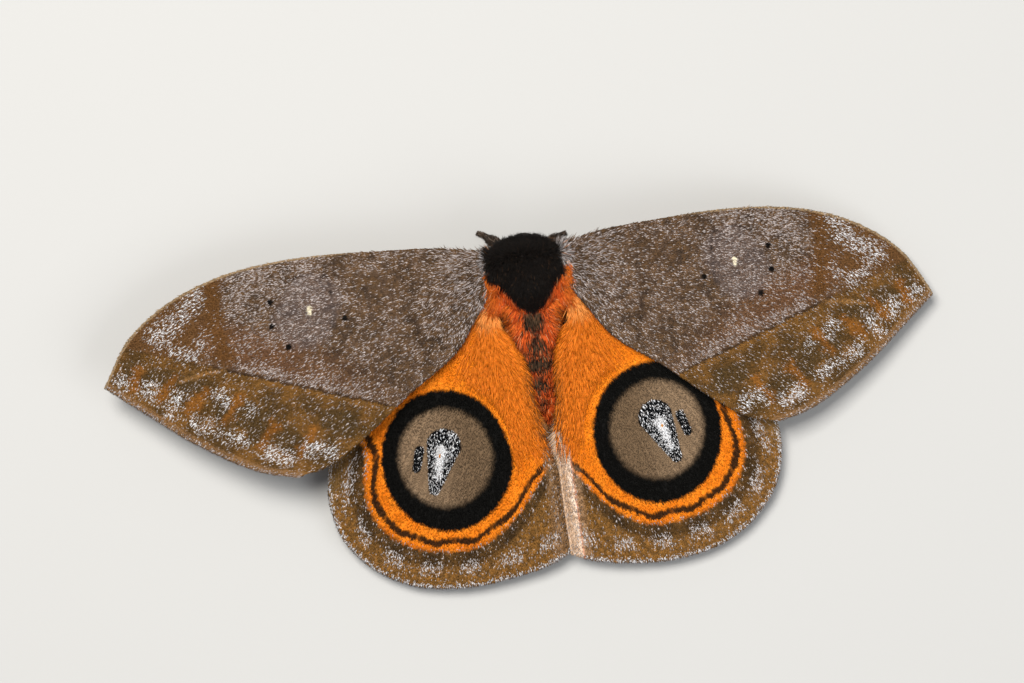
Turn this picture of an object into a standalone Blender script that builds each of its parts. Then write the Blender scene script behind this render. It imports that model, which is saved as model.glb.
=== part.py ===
"""An eyed silkmoth of the genus Automeris at rest, life size, with its hindwings bared.

The moth stands on its six feet with its head towards -Y. Everything is worked out in millimetres in the
body's own frame (x away from the midline, y towards the tail, z up from the floor) and is made life size
in metres at the end, when the origin moves to the middle of the footprint.
"""

import math
import random

import bmesh
import bpy
import numpy as np
from mathutils import Matrix, Vector

MM = 0.001
GAP = 0.3
SIDES = {"left": 1, "right": -1}

# The thorax: a barrel, with the narrower ring behind it that carries the hindwings, the collar that
# stands out over the head, and the shoulder flaps that lie on the roots of the forewings.
THORAX_CENTRE = Vector((0, 1.1, 7.3))
THORAX_HALF = Vector((4.0, 4.3, 3.7))
REAR_RING_CENTRE = Vector((0, 3.3, 6.5))
REAR_RING_HALF = Vector((3.3, 2.8, 2.9))
COLLAR_CENTRE = Vector((0.15, -1.3, 8.8))
COLLAR_HALF = Vector((4.3, 2.35, 1.9))
FLAP_CENTRE = Vector((3.8, 0.1, 9.5))
FLAP_HALF = Vector((1.45, 2.2, 1.25))
BELLY_Z = 3.7
NECK_Y = -2.4
WAIST_Y = 4.7
ROOT_X = 4.6
# Where the rooms for the head, the abdomen and the wings end above.
HEAD_ROOF = 7.7
WAIST_ROOF = 9.6
WING_ROOF = 9.9
# The coat of the thorax lies in rows of locks, counted in degrees from the front round to the tail. Those
# of the collar lean forward, those behind the parting lean back, and both start a little towards it.
LOCK_ROWS = (22, 36, 50, 62, 74, 88, 102, 116, 130, 144)
LOCK_PARTING = 56
LOCK_START = 0.9
LOCK_PITCH = 1.15
LOCK_LENGTH, LOCK_WIDTH, LOCK_DEPTH = 2.5, 1.35, 0.62

# The head and what it carries.
HEAD_CENTRE = Vector((0, -3.1, 5.4))
HEAD_HALF = Vector((1.8, 1.3, 1.65))
EYE_CENTRE = Vector((1.75, -3.5, 5.3))
EYE_RADIUS = 0.8

# The wings. Each outline is seen from above: the leading edge, the outer margin and the inner margin.
WING_X = ROOT_X + GAP
MEMBRANE = 0.5
VEIN_RISE = 0.16
STEEPEST = 0.6
STACK = 1.05
DRAPE_ROOT_Z = 7.6
DRAPE_FALL = 5.6
DRAPE_REACH = 40.0
DRAPE_POWER = 1.3
FOREWING = {
    "lead": [(WING_X, -2.4), (11.4, -3.6), (18.0, -4.1), (24.6, -4.4), (31.2, -4.2), (37.7, -3.1),
             (43.8, -0.7), (49.1, 3.3), (52.5, 8.8)],
    "margin": [(52.5, 8.8), (49.0, 11.6), (41.6, 17.4), (33.3, 21.9), (30.0, 22.7)],
    "inner": [(WING_X, 2.2), (7.1, 5.3), (9.7, 9.1), (16.3, 14.2), (22.8, 19.4), (26.3, 21.6), (30.0, 22.7)],
    "veins": (0.1, 0.2, 0.33, 0.45, 0.57, 0.68, 0.79, 0.9),
    "cell_end": 0.42,
    "cell": (0.2, 0.68),
    "free_vein": 0.45,
    "root_thickness": 1.6,
    "root_middle": (WING_X, -0.1),
    "root_reach": 5.0,
}
HINDWING = {
    "lead": [(WING_X, 2.6), (10.5, 4.6), (18.5, 9.6), (25.0, 15.2), (28.0, 20.5)],
    "margin": [(28.0, 20.5), (28.7, 26.0), (27.5, 31.0), (24.3, 35.0), (20.0, 37.6), (14.0, 38.8),
               (7.6, 38.45), (2.4, 37.2), (0.5, 36.3)],
    "inner": [(WING_X, 4.5), (5.15, 5.8), (3.9, 8.7), (2.5, 12.2), (1.7, 17.0), (0.9, 21.5), (0.5, 28.0),
              (0.5, 36.3)],
    "veins": (0.1, 0.25, 0.38, 0.5, 0.62, 0.75, 0.88),
    "cell_end": 0.4,
    "cell": (0.25, 0.62),
    "free_vein": 0.38,
    "root_thickness": 1.2,
    "root_middle": (WING_X, 3.55),
    "root_reach": 4.0,
}
# How each wing is held: reach along the span, sweep in degrees towards the tail, and rise of its tip.
POSES = {
    "forewing_left": (1.038, -0.5, 5.0),
    "forewing_right": (0.962, 0.5, 1.2),
    "hindwing_left": (1.0, 1.2, 0.0),
    "hindwing_right": (1.0, -1.2, 0.0),
}
# The right hindwing's inner edge is turned up in a fold that lies over the left one's.
FOLD_RISE = 1.15
FOLD_WIDTH = 2.3
TUCK_X = 0.9

# The abdomen: place of each ring along y, height of its middle, and radius.
ABDOMEN_RINGS = ((5.6, 6.1, 2.55), (7.7, 5.4, 2.75), (10.0, 4.75, 2.75), (12.5, 4.05, 2.6),
                 (15.0, 3.45, 2.3), (17.5, 2.95, 1.85), (19.6, 2.6, 1.3))
ABDOMEN_TIP = (20.9, 2.4, 0.7)
RING_STEP = 0.22
# Each ring ends in a row of short, flat locks.
RIM_LOCK_PITCH = 1.05
RIM_LOCK_LENGTH, RIM_LOCK_WIDTH, RIM_LOCK_DEPTH = 1.9, 1.1, 0.5

# The legs: points from the coxa to the claws, and the radius at each of them. The right forefoot is drawn in.
LEG_RADII = (0.85, 0.75, 0.7, 0.62, 0.75, 0.7, 0.42, 0.36, 0.32)
FOOT_Z = 0.2
MID_LEG = ((1.7, 0.9), (2.3, 0.9, 2.5), (3.9, 0.8, 3.4), (5.3, 0.6, 4.2), (6.4, 0.5, 3.2),
           (7.7, 0.3, 1.5), (8.5, 0.2, 0.75), (9.6, 0.0, FOOT_Z), (11.4, -0.3, FOOT_Z))
HIND_LEG = ((1.5, 3.1), (2.2, 3.3, 2.5), (3.8, 5.2, 3.2), (5.0, 7.0, 3.6), (5.9, 8.8, 2.8),
            (7.0, 11.4, 1.4), (7.6, 12.8, 0.75), (8.3, 14.4, FOOT_Z), (9.4, 17.2, FOOT_Z))
LEG_PATHS = {
    "fore_left": ((1.25, -1.3), (1.6, -1.9, 2.5), (2.4, -2.6, 2.9), (3.1, -3.2, 3.9), (3.6, -3.7, 3.2),
                  (4.2, -4.2, 1.7), (4.6, -4.6, 0.75), (5.0, -4.9, FOOT_Z), (5.8, -5.3, FOOT_Z)),
    "fore_right": ((1.25, -1.3), (1.7, -1.8, 2.5), (2.5, -2.4, 2.9), (3.3, -2.8, 3.9), (3.8, -3.1, 3.2),
                   (4.3, -3.4, 1.7), (4.6, -3.6, 0.75), (4.9, -3.7, FOOT_Z), (5.6, -3.95, FOOT_Z)),
    "mid_left": MID_LEG,
    "mid_right": MID_LEG,
    "hind_left": HIND_LEG,
    "hind_right": HIND_LEG,
}
# Locks of hair on the outer side of thigh and shin: share of the leg's length.
LEG_LOCKS = (0.3, 0.38, 0.46, 0.54, 0.62)
LEG_LOCK_LENGTH, LEG_LOCK_WIDTH, LEG_LOCK_DEPTH = 1.3, 0.7, 0.4

# The antennae: feathered, laid back under the leading edge of the forewing.
ANTENNA_PATH = ((1.55, -3.2, 6.75), (2.3, -3.3, 6.85), (3.4, -2.9, 6.7), (4.8, -2.2, 6.6), (6.4, -1.6, 6.5),
                (8.4, -1.1, 6.35), (10.4, -0.7, 6.15), (12.4, -0.4, 5.9))
ANTENNA_RADII = (0.42, 0.36, 0.32, 0.3, 0.28, 0.27, 0.26, 0.25)
COMB_PAIRS = 11
COMB_LENGTH = 1.5
COMB_RADIUS = 0.27


def clear_scene():
    """Removes the startup scene's objects."""
    for obj in list(bpy.data.objects):
        bpy.data.objects.remove(obj)


def new_collection(name):
    """A collection of the scene with that name."""
    collection = bpy.data.collections.new(name)
    bpy.context.scene.collection.children.link(collection)
    return collection


def finish_material(name, colour, roughness):
    """A plain material for one finish of the moth."""
    material = bpy.data.materials.new(name)
    material.use_nodes = True
    shader = material.node_tree.nodes["Principled BSDF"]
    shader.inputs["Base Color"].default_value = (*colour, 1)
    shader.inputs["Roughness"].default_value = roughness
    return material


def add_object(name, mesh, collection):
    """An object that holds the mesh, in that collection."""
    obj = bpy.data.objects.new(name, mesh)
    collection.objects.link(obj)
    return obj


def mesh_of(bm, name):
    """Turns a bmesh into a mesh with its faces pointing out."""
    bmesh.ops.recalc_face_normals(bm, faces=bm.faces)
    mesh = bpy.data.meshes.new(name)
    bm.to_mesh(mesh)
    bm.free()
    return mesh


def evaluated_mesh(obj):
    """The object's mesh with its modifiers, or its curve, worked out."""
    bpy.context.view_layer.update()
    graph = bpy.context.evaluated_depsgraph_get()
    return bpy.data.meshes.new_from_object(obj.evaluated_get(graph))


def apply_modifiers(obj):
    """Puts the modifiers' result into the object's own mesh."""
    mesh = evaluated_mesh(obj)
    obj.modifiers.clear()
    obj.data = mesh


def drop(obj):
    """Removes a helper object with its data."""
    bpy.data.objects.remove(obj)


def ball(name, centre, half, collection, rings=10, spokes=16):
    """A sphere stretched to three half sizes, with its poles fore and aft."""
    bm = bmesh.new()
    bmesh.ops.create_uvsphere(bm, u_segments=spokes, v_segments=rings, radius=1)
    bmesh.ops.rotate(bm, verts=bm.verts, matrix=Matrix.Rotation(math.pi / 2, 3, "X"))
    bmesh.ops.scale(bm, verts=bm.verts, vec=half)
    bmesh.ops.translate(bm, verts=bm.verts, vec=centre)
    return add_object(name, mesh_of(bm, name), collection)


def block(name, low, high, collection, bevel=0.0):
    """A box between two corners, with rounded edges if a bevel is given."""
    low, high = Vector(low), Vector(high)
    bm = bmesh.new()
    bmesh.ops.create_cube(bm, size=1)
    bmesh.ops.scale(bm, verts=bm.verts, vec=high - low)
    bmesh.ops.translate(bm, verts=bm.verts, vec=(low + high) / 2)
    if bevel:
        bmesh.ops.bevel(bm, geom=bm.edges[:], offset=bevel, segments=1, affect="EDGES")
    return add_object(name, mesh_of(bm, name), collection)


def tapered_tube(name, points, radii, collection, resolution=2):
    """A tube through the points, of that radius at each, with closed ends."""
    curve = bpy.data.curves.new(name, "CURVE")
    curve.dimensions = "3D"
    curve.bevel_depth = 1
    curve.bevel_resolution = resolution
    curve.use_fill_caps = True
    spline = curve.splines.new("POLY")
    spline.points.add(len(points) - 1)
    for knot, point, radius in zip(spline.points, points, radii):
        knot.co = (*point, 1)
        knot.radius = radius
    guide = add_object(name + "_line", curve, collection)
    bm = bmesh.new()
    bm.from_mesh(evaluated_mesh(guide))
    bmesh.ops.remove_doubles(bm, verts=bm.verts, dist=1e-4)
    drop(guide)
    return add_object(name, mesh_of(bm, name), collection)


def lock_mesh(name, root, along, lift, length, width, thickness):
    """A flat, tapered lock of hair: it leaves its root along a direction and bends towards lift."""
    along = Vector(along).normalized()
    across = along.cross(Vector(lift)).normalized()
    up = across.cross(along).normalized()
    bend = Vector(lift).dot(up)
    bm = bmesh.new()
    bmesh.ops.create_cone(bm, cap_ends=True, segments=5, radius1=0.5, radius2=0.16, depth=1)
    long_edges = [e for e in bm.edges if abs(e.verts[0].co.z - e.verts[1].co.z) > 0.5]
    bmesh.ops.subdivide_edges(bm, edges=long_edges, cuts=1)
    for vert in bm.verts:
        share = vert.co.z + 0.5
        swell = 1 + 0.5 * math.sin(math.pi * share)
        middle = Vector(root) + along * (length * share) + up * (bend * share * share)
        vert.co = middle + across * (vert.co.x * width * swell) + up * (vert.co.y * thickness * swell)
    return mesh_of(bm, name)


def inside(point, room):
    """Whether a point lies in a box, given as its two corners."""
    return all(low < value < high for value, low, high in zip(point, *room))


def add_lock(name, shape, rooms, collection):
    """Adds a lock, cut shorter until it stays out of the rooms kept for its neighbours."""
    root, along, lift, length, width, thickness = shape
    for share in (1.0, 0.8, 0.62, 0.48):
        mesh = lock_mesh(name, root, along, lift, length * share, width, thickness)
        if not any(inside(vert.co, room) for vert in mesh.vertices for room in rooms):
            add_object(name, mesh, collection)
            return
        bpy.data.meshes.remove(mesh)


def boolean(obj, operation, others):
    """Joins a collection of closed meshes to the object, or cuts them from it, and removes them."""
    modifier = obj.modifiers.new("join" if operation == "UNION" else "cut", "BOOLEAN")
    modifier.operation = operation
    modifier.operand_type = "COLLECTION"
    modifier.collection = others
    apply_modifiers(obj)
    for other in list(others.objects):
        drop(other)
    bpy.data.collections.remove(others)


def keep_largest(obj):
    """Keeps the largest closed surface of the object, following its faces from edge to edge."""
    bm = bmesh.new()
    bm.from_mesh(obj.data)
    left = set(bm.faces)
    surfaces = []
    while left:
        front = [left.pop()]
        surface = set(front)
        while front:
            edges = [edge for face in front for edge in face.edges if edge.is_manifold]
            near = {other for edge in edges for other in edge.link_faces} & left
            left -= near
            surface |= near
            front = list(near)
        surfaces.append(surface)
    surfaces.sort(key=len, reverse=True)
    loose = [face for surface in surfaces[1:] for face in surface]
    bmesh.ops.delete(bm, geom=loose, context="FACES")
    bm.to_mesh(obj.data)
    bm.free()


def smooth_point(points, share):
    """The point at that share of the length of a smooth curve through the points."""
    knots = np.array(points, float)
    along = np.concatenate(([0.0], np.cumsum(np.linalg.norm(np.diff(knots, axis=0), axis=1))))
    at = share * along[-1]
    slopes = np.gradient(knots, along, axis=0)
    i = min(int(np.searchsorted(along, at, side="right")) - 1, len(knots) - 2)
    span = along[i + 1] - along[i]
    t = (at - along[i]) / span
    return ((1 + 2 * t) * (1 - t) ** 2 * knots[i] + t * (1 - t) ** 2 * span * slopes[i]
            + t * t * (3 - 2 * t) * knots[i + 1] - t * t * (1 - t) * span * slopes[i + 1])


def drape_z(x, y):
    """Height of the sheet that all four wings follow as they fall away from the shoulder."""
    distance = math.hypot(x - WING_X, y - 3.0)
    return DRAPE_ROOT_Z - DRAPE_FALL * (distance / DRAPE_REACH) ** DRAPE_POWER


def eased(value):
    """A smooth step from 0 to 1."""
    value = min(max(value, 0.0), 1.0)
    return value * value * (3 - 2 * value)


def wing_columns(shape, u):
    """Shares across the chord: both edges, and for each vein its two feet and its crest."""
    half_width = 0.032 * (1 - u) + 0.013 * u
    columns = [(0.0, 1.0)]
    for i, vein in enumerate(shape["veins"]):
        starts = shape["cell_end"] if vein == shape["free_vein"] else 0.0
        rise = 1.0 if u >= starts else 0.0
        columns += [(vein - half_width, 0.0), (vein, rise), (vein + half_width, 0.0)]
    return columns + [(1.0, 0.4)]


def wing_rows(shape):
    """Shares along the wing, with two close rows at the cross vein that ends the cell."""
    end = shape["cell_end"]
    return [0.0, 0.06, 0.14, 0.24, 0.33, end - 0.035, end, end + 0.035, 0.56, 0.67, 0.78, 0.89, 1.0]


def wing_point(shape, u, v):
    """The point of the flat wing at share u from root to margin and v from leading to inner edge."""
    lead, inner = smooth_point(shape["lead"], u), smooth_point(shape["inner"], u)
    margin = smooth_point(shape["margin"], v)
    front, rear = np.array(shape["lead"][0]), np.array(shape["inner"][0])
    apex, corner = np.array(shape["lead"][-1]), np.array(shape["inner"][-1])
    across = (1 - v) * lead + v * inner + (1 - u) * ((1 - v) * front + v * rear) + u * margin
    corners = (1 - u) * ((1 - v) * front + v * rear) + u * ((1 - v) * apex + v * corner)
    return across - corners


def wing_height(name, x, y, u, v, rise):
    """Height of the middle of the membrane at a place on the wing."""
    height = drape_z(x, y)
    if name.startswith("forewing"):
        camber = 0.7 * math.sin(math.pi * min(v * 1.2, 1.0)) * math.sin(math.pi * u)
        return height + STACK + rise * u * u + camber
    if name == "hindwing_right":
        turned = eased((FOLD_WIDTH - x) / (FOLD_WIDTH - 0.7)) * eased((y - 19.5) / 4.0)
        height += FOLD_RISE * turned
    return height


def wing(name, shape, collection):
    """A wing: one curved sheet with its veins raised on both faces, and a thick root."""
    side = SIDES[name.rsplit("_")[-1]]
    reach, sweep, rise = POSES[name]
    rows, columns = wing_rows(shape), len(wing_columns(shape, 0))
    bm = bmesh.new()
    bmesh.ops.create_grid(bm, x_segments=len(rows) - 1, y_segments=columns - 1, size=0.5)
    stoutness = bm.verts.layers.float.new("stoutness")
    turn = Matrix.Rotation(math.radians(sweep), 2)
    pivot = Vector(shape["root_middle"])
    for vert in bm.verts:
        row = round((vert.co.x + 0.5) * (len(rows) - 1))
        column = round((vert.co.y + 0.5) * (columns - 1))
        u = rows[row]
        v, vein = wing_columns(shape, u)[column]
        if u == shape["cell_end"] and shape["cell"][0] <= v <= shape["cell"][1]:
            vein = 0.8
        flat = pivot + turn @ (Vector(wing_point(shape, u, v)) - pivot) if u else Vector(wing_point(shape, u, v))
        x, y = WING_X + (flat.x - WING_X) * reach, flat.y
        if name == "hindwing_left":
            x -= TUCK_X * eased((y - 20.0) / 4.0) * eased((v - 0.7) / 0.3)
        z = wing_height(name, x, y, u, v, rise)
        vert.co = (side * x, y, z)
        near = max(0.0, 1 - (Vector((x, y)) - pivot).length / shape["root_reach"])
        root = (shape["root_thickness"] - MEMBRANE) * near * near if u else shape["root_thickness"] - MEMBRANE
        ridge = 2 * VEIN_RISE * vein * eased(u / 0.15) * (1 - 0.5 * u)
        vert[stoutness] = MEMBRANE + max(root, ridge)
    bmesh.ops.triangulate(bm, faces=bm.faces)
    bm.normal_update()
    # Upright thickness, so that close columns at the thick root can't cross. A steep place gets more of it.
    for vert in bm.verts:
        vert[stoutness] /= max(STEEPEST, abs(vert.normal.z))
    copied = bmesh.ops.extrude_face_region(bm, geom=bm.faces[:], use_keep_orig=True)
    upper = {item for item in copied["geom"] if isinstance(item, bmesh.types.BMVert)}
    for vert in bm.verts:
        vert.co.z += 0.5 * vert[stoutness] * (1 if vert in upper else -1)
    return add_object(name, mesh_of(bm, name), collection)


def thorax_rooms():
    """The boxes round the thorax that are kept for the wings, the head, the abdomen and the legs."""
    far = 20
    rooms = [((-far, -far, -far), (far, far, BELLY_Z)), ((-far, -far, -far + 1), (far, NECK_Y, HEAD_ROOF)),
             ((-far, WAIST_Y, -far + 2), (far, far, WAIST_ROOF))]
    for side in SIDES.values():
        inner, outer = sorted((side * ROOT_X, side * far))
        rooms.append(((inner, -far, -far + 3), (outer, far, WING_ROOF)))
    return rooms


def thorax_lock_shapes(body):
    """The root, lie and size of each lock of the thorax, found by looking in at the body from all round."""
    draw = random.Random(5)
    bpy.context.view_layer.update()
    shapes = []
    for row, polar in enumerate(LOCK_ROWS):
        tilt = math.radians(polar)
        count = max(5, round(math.pi * math.sin(tilt) * THORAX_HALF.y / LOCK_PITCH))
        for i in range(count):
            around = math.radians(-86 + 172 * (i + 0.5 * (row % 2)) / (count - 0.5))
            towards = Vector((math.sin(tilt) * math.sin(around), -math.cos(tilt), math.sin(tilt) * math.cos(around)))
            found, spot, out, _ = body.ray_cast(THORAX_CENTRE + towards * 20, -towards)
            if not found or abs(spot.x) > ROOT_X - 0.1 and spot.z < WING_ROOF + 0.2:
                continue
            flow = Vector((0, -1, 0)) if polar < LOCK_PARTING else Vector((0, 1, 0))
            flow = (flow - out * out.dot(flow)).normalized()
            size = draw.uniform(0.88, 1.12)
            root = spot - flow * LOCK_START - out * 0.2
            shapes.append((root, flow + out * 0.36, -out * 0.3, LOCK_LENGTH * size, LOCK_WIDTH * size, LOCK_DEPTH))
    return shapes


def thorax(collection):
    """The thorax: barrel, rear ring, collar, shoulder flaps, wing pads and its coat of overlapping locks."""
    body = ball("thorax", THORAX_CENTRE, THORAX_HALF, collection, rings=14, spokes=22)
    core = new_collection("thorax_core")
    ball("rear_ring", REAR_RING_CENTRE, REAR_RING_HALF, core)
    ball("collar", COLLAR_CENTRE, COLLAR_HALF, core)
    for side in SIDES.values():
        ball(f"flap_{side}", Vector((side * FLAP_CENTRE.x, FLAP_CENTRE.y, FLAP_CENTRE.z)), FLAP_HALF, core)
        for label, shape, rise in (("fore", FOREWING, STACK), ("hind", HINDWING, 0.0)):
            front, rear = shape["lead"][0][1], shape["inner"][0][1]
            middle = drape_z(WING_X, (front + rear) / 2) + rise
            half = shape["root_thickness"] / 2
            inner, outer = sorted((side * 1.5, side * (ROOT_X + 1)))
            block(f"{label}_pad_{side}", (inner, front, middle - half), (outer, rear, middle + half), core)
    boolean(body, "UNION", core)
    rooms = thorax_rooms()
    cutters = new_collection("thorax_cutters")
    for index, (low, high) in enumerate(rooms):
        block(f"room_{index}", low, high, cutters)
    boolean(body, "DIFFERENCE", cutters)
    keep_largest(body)
    locks = new_collection("thorax_locks")
    for index, shape in enumerate(thorax_lock_shapes(body)):
        add_lock(f"lock_{index}", shape, rooms, locks)
    boolean(body, "UNION", locks)
    keep_largest(body)
    return body


def abdomen(collection):
    """The abdomen: seven telescoped rings, each with a rim of locks, and the pointed tail end."""
    draw = random.Random(9)
    first_y, first_z, first_radius = ABDOMEN_RINGS[0]
    points, radii = [(0, WAIST_Y + GAP, first_z)], [first_radius - 2 * RING_STEP]
    for (y, z, radius), (next_y, next_z, next_radius) in zip(ABDOMEN_RINGS, ABDOMEN_RINGS[1:] + (ABDOMEN_TIP,)):
        points += [(0, y, z), (0, y + 0.55 * (next_y - y), z + 0.55 * (next_z - z)),
                   (0, y + 0.92 * (next_y - y), z + 0.92 * (next_z - z))]
        radii += [radius - RING_STEP, 0.5 * (radius + next_radius) + 0.08, next_radius + RING_STEP * 0.5]
    y, z, radius = ABDOMEN_TIP
    points += [(0, y, z), (0, y + 0.5, z - 0.1)]
    radii += [radius, radius * 0.4]
    body = tapered_tube("abdomen", points, radii, collection, resolution=8)
    locks = new_collection("abdomen_locks")
    for ring, (y, z, radius) in enumerate(ABDOMEN_RINGS[1:]):
        count = round(math.pi * radius / RIM_LOCK_PITCH)
        for i in range(count):
            around = math.radians(-90 + 180 * (i + 0.5 * (ring % 2)) / (count - 0.5))
            out = Vector((math.sin(around), 0, math.cos(around)))
            size = draw.uniform(0.85, 1.15)
            root = Vector((0, y - 1.2, z + 0.25)) + out * (radius - 0.1)
            shape = (root, (0, 1, -0.15), -out * 0.1, RIM_LOCK_LENGTH * size, RIM_LOCK_WIDTH * size, RIM_LOCK_DEPTH)
            add_lock(f"rim_{ring}_{i}", shape, (), locks)
    boolean(body, "UNION", locks)
    keep_largest(body)
    return body


def head(collection):
    """The head: a rounded capsule with eye sockets, palps and a tuft on the brow."""
    draw = random.Random(7)
    body = ball("head", HEAD_CENTRE, HEAD_HALF, collection, rings=12, spokes=16)
    cutters = new_collection("head_cutters")
    for side in SIDES.values():
        centre = Vector((side * EYE_CENTRE.x, EYE_CENTRE.y, EYE_CENTRE.z))
        ball(f"socket_{side}", centre, Vector((1, 1, 1)) * (EYE_RADIUS + GAP), cutters, rings=10, spokes=14)
    block("neck_room", (-9, NECK_Y - GAP, -9), (9, 9, 19), cutters)
    boolean(body, "DIFFERENCE", cutters)
    keep_largest(body)
    locks = new_collection("head_locks")
    for side in SIDES.values():
        palp = ((side * 0.4, -3.7, 4.4), (side * 0.1, -1, -0.5), (0, 0, 0.5), 1.4, 0.75, 0.6)
        add_lock(f"palp_{side}", palp, (), locks)
        for i, (x, z, width) in enumerate(((0.4, 6.4, 0.9), (1.0, 6.4, 0.8))):
            size = draw.uniform(0.9, 1.1)
            brow = ((side * x, -3.5, z), (side * 0.3 * x, -1, -0.25), (0, 0, -0.4), 1.2 * size, width, 0.5)
            add_lock(f"brow_{side}_{i}", brow, (), locks)
    add_lock("brow_middle", ((0, -3.9, 5.6), (0, -1, -0.4), (0, 0, -0.3), 1.0, 0.7, 0.5), (), locks)
    boolean(body, "UNION", locks)
    keep_largest(body)
    return body


def eye(side_name, collection):
    """A compound eye, a ball in its socket."""
    centre = Vector((SIDES[side_name] * EYE_CENTRE.x, EYE_CENTRE.y, EYE_CENTRE.z))
    return ball(f"eye_{side_name}", centre, Vector((1, 1, 1)) * EYE_RADIUS, collection, rings=8, spokes=12)


def antenna(side_name, collection):
    """A feathered antenna: a tapering shaft with a comb along both sides."""
    side = SIDES[side_name]
    name = f"antenna_{side_name}"
    path = [Vector((side * x, y, z)) for x, y, z in ANTENNA_PATH]
    shaft = tapered_tube(name, path, ANTENNA_RADII, collection, resolution=2)
    pieces = new_collection(name + "_combs")
    for i in range(COMB_PAIRS):
        share = 0.16 + 0.8 * i / (COMB_PAIRS - 1)
        spot = Vector(smooth_point(ANTENNA_PATH, share))
        ahead = (Vector(smooth_point(ANTENNA_PATH, min(share + 0.02, 1))) - spot).normalized()
        length = COMB_LENGTH * math.sin(math.pi * min(0.25 + share * 0.62, 1)) ** 0.8
        for edge in (-1, 1):
            out = Vector((ahead.y, -ahead.x, 0)).normalized() * edge
            tip = spot + (out + ahead * 0.45 + Vector((0, 0, -0.12))).normalized() * length
            ends = [Vector((side * p.x, p.y, p.z)) for p in (spot, (spot + tip) / 2, tip)]
            radii = [COMB_RADIUS * share_of for share_of in (0.65, 1.0, 0.4)]
            tapered_tube(f"tooth_{i}_{edge}", ends, radii, pieces, resolution=0)
    boolean(shaft, "UNION", pieces)
    keep_largest(shaft)
    return shaft


def leg(place, collection):
    """A leg from the coxa's flat top to the foot, which is cut flat where it stands on the floor."""
    side = SIDES[place.rsplit("_")[-1]]
    name = f"leg_{place}"
    (top_x, top_y), *rest = LEG_PATHS[place]
    points = [(side * top_x, top_y, BELLY_Z - GAP)] + [(side * x, y, z) for x, y, z in rest]
    body = tapered_tube(name, points, LEG_RADII, collection, resolution=2)
    locks = new_collection(name + "_locks")
    for i, share in enumerate(LEG_LOCKS):
        spot = Vector(smooth_point(points, share))
        ahead = (Vector(smooth_point(points, share + 0.03)) - spot).normalized()
        out = Vector((side * 0.9, 0.5 * (-1) ** i, 0.35))
        out = (out - ahead * ahead.dot(out)).normalized()
        shape = (spot + out * 0.5, ahead + out * 0.3, -out * 0.15, LEG_LOCK_LENGTH, LEG_LOCK_WIDTH, LEG_LOCK_DEPTH)
        add_lock(f"{name}_lock_{i}", shape, (), locks)
    boolean(body, "UNION", locks)
    cutters = new_collection(name + "_cutters")
    block("floor", (-30, -30, -9), (30, 30, 0), cutters)
    inner, outer = sorted((-side * 30, side * (top_x + 1.0)))
    block("belly", (inner, -30, BELLY_Z - GAP), (outer, 30, 9), cutters)
    boolean(body, "DIFFERENCE", cutters)
    keep_largest(body)
    return body


def to_life_size(objects):
    """Turns millimetres into metres and puts the origin under the middle of the whole moth."""
    low, high = Vector((math.inf,) * 3), Vector((-math.inf,) * 3)
    for obj in objects:
        for vert in obj.data.vertices:
            low = Vector(map(min, low, vert.co))
            high = Vector(map(max, high, vert.co))
    middle = Vector(((low.x + high.x) / 2, (low.y + high.y) / 2, 0))
    for obj in objects:
        obj.data.transform(Matrix.Scale(MM, 4) @ Matrix.Translation(-middle))


def main():
    clear_scene()
    moth = new_collection("eyed_silkmoth")
    black_fur = finish_material("black_fur", (0.02, 0.012, 0.008), 0.9)
    body_bands = finish_material("body_bands", (0.32, 0.08, 0.02), 0.9)
    forewing_scales = finish_material("forewing_scales", (0.22, 0.15, 0.1), 0.8)
    hindwing_scales = finish_material("hindwing_scales", (0.75, 0.24, 0.02), 0.8)
    leg_hair = finish_material("leg_hair", (0.08, 0.06, 0.05), 0.9)
    antenna_horn = finish_material("antenna_horn", (0.25, 0.15, 0.07), 0.7)
    eye_shell = finish_material("eye_shell", (0.01, 0.01, 0.01), 0.25)
    made = [(thorax(moth), black_fur), (head(moth), black_fur), (abdomen(moth), body_bands)]
    for side_name in SIDES:
        made.append((eye(side_name, moth), eye_shell))
        made.append((antenna(side_name, moth), antenna_horn))
        made.append((wing(f"forewing_{side_name}", FOREWING, moth), forewing_scales))
        made.append((wing(f"hindwing_{side_name}", HINDWING, moth), hindwing_scales))
    for place in LEG_PATHS:
        made.append((leg(place, moth), leg_hair))
    to_life_size([obj for obj, _ in made])
    for obj, material in made:
        obj.data.materials.clear()
        obj.data.materials.append(material)
        obj.data.shade_smooth()


main()
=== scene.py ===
import math

import bpy
import numpy as np
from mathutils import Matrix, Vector


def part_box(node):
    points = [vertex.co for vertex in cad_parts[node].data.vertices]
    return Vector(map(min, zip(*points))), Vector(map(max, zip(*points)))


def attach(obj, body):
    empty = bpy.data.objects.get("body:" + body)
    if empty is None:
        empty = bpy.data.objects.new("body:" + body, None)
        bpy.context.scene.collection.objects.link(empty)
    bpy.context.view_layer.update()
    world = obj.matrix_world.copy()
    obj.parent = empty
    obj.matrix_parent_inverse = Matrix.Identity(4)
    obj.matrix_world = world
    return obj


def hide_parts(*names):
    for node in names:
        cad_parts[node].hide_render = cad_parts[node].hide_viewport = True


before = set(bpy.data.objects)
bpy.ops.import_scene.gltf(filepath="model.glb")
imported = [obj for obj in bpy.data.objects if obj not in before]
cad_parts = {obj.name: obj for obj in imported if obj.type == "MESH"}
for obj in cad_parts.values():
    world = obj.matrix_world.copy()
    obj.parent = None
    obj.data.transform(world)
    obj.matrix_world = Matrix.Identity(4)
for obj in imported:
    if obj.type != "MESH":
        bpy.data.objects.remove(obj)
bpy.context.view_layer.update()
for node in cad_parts.values():
    node.select_set(False)

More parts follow.
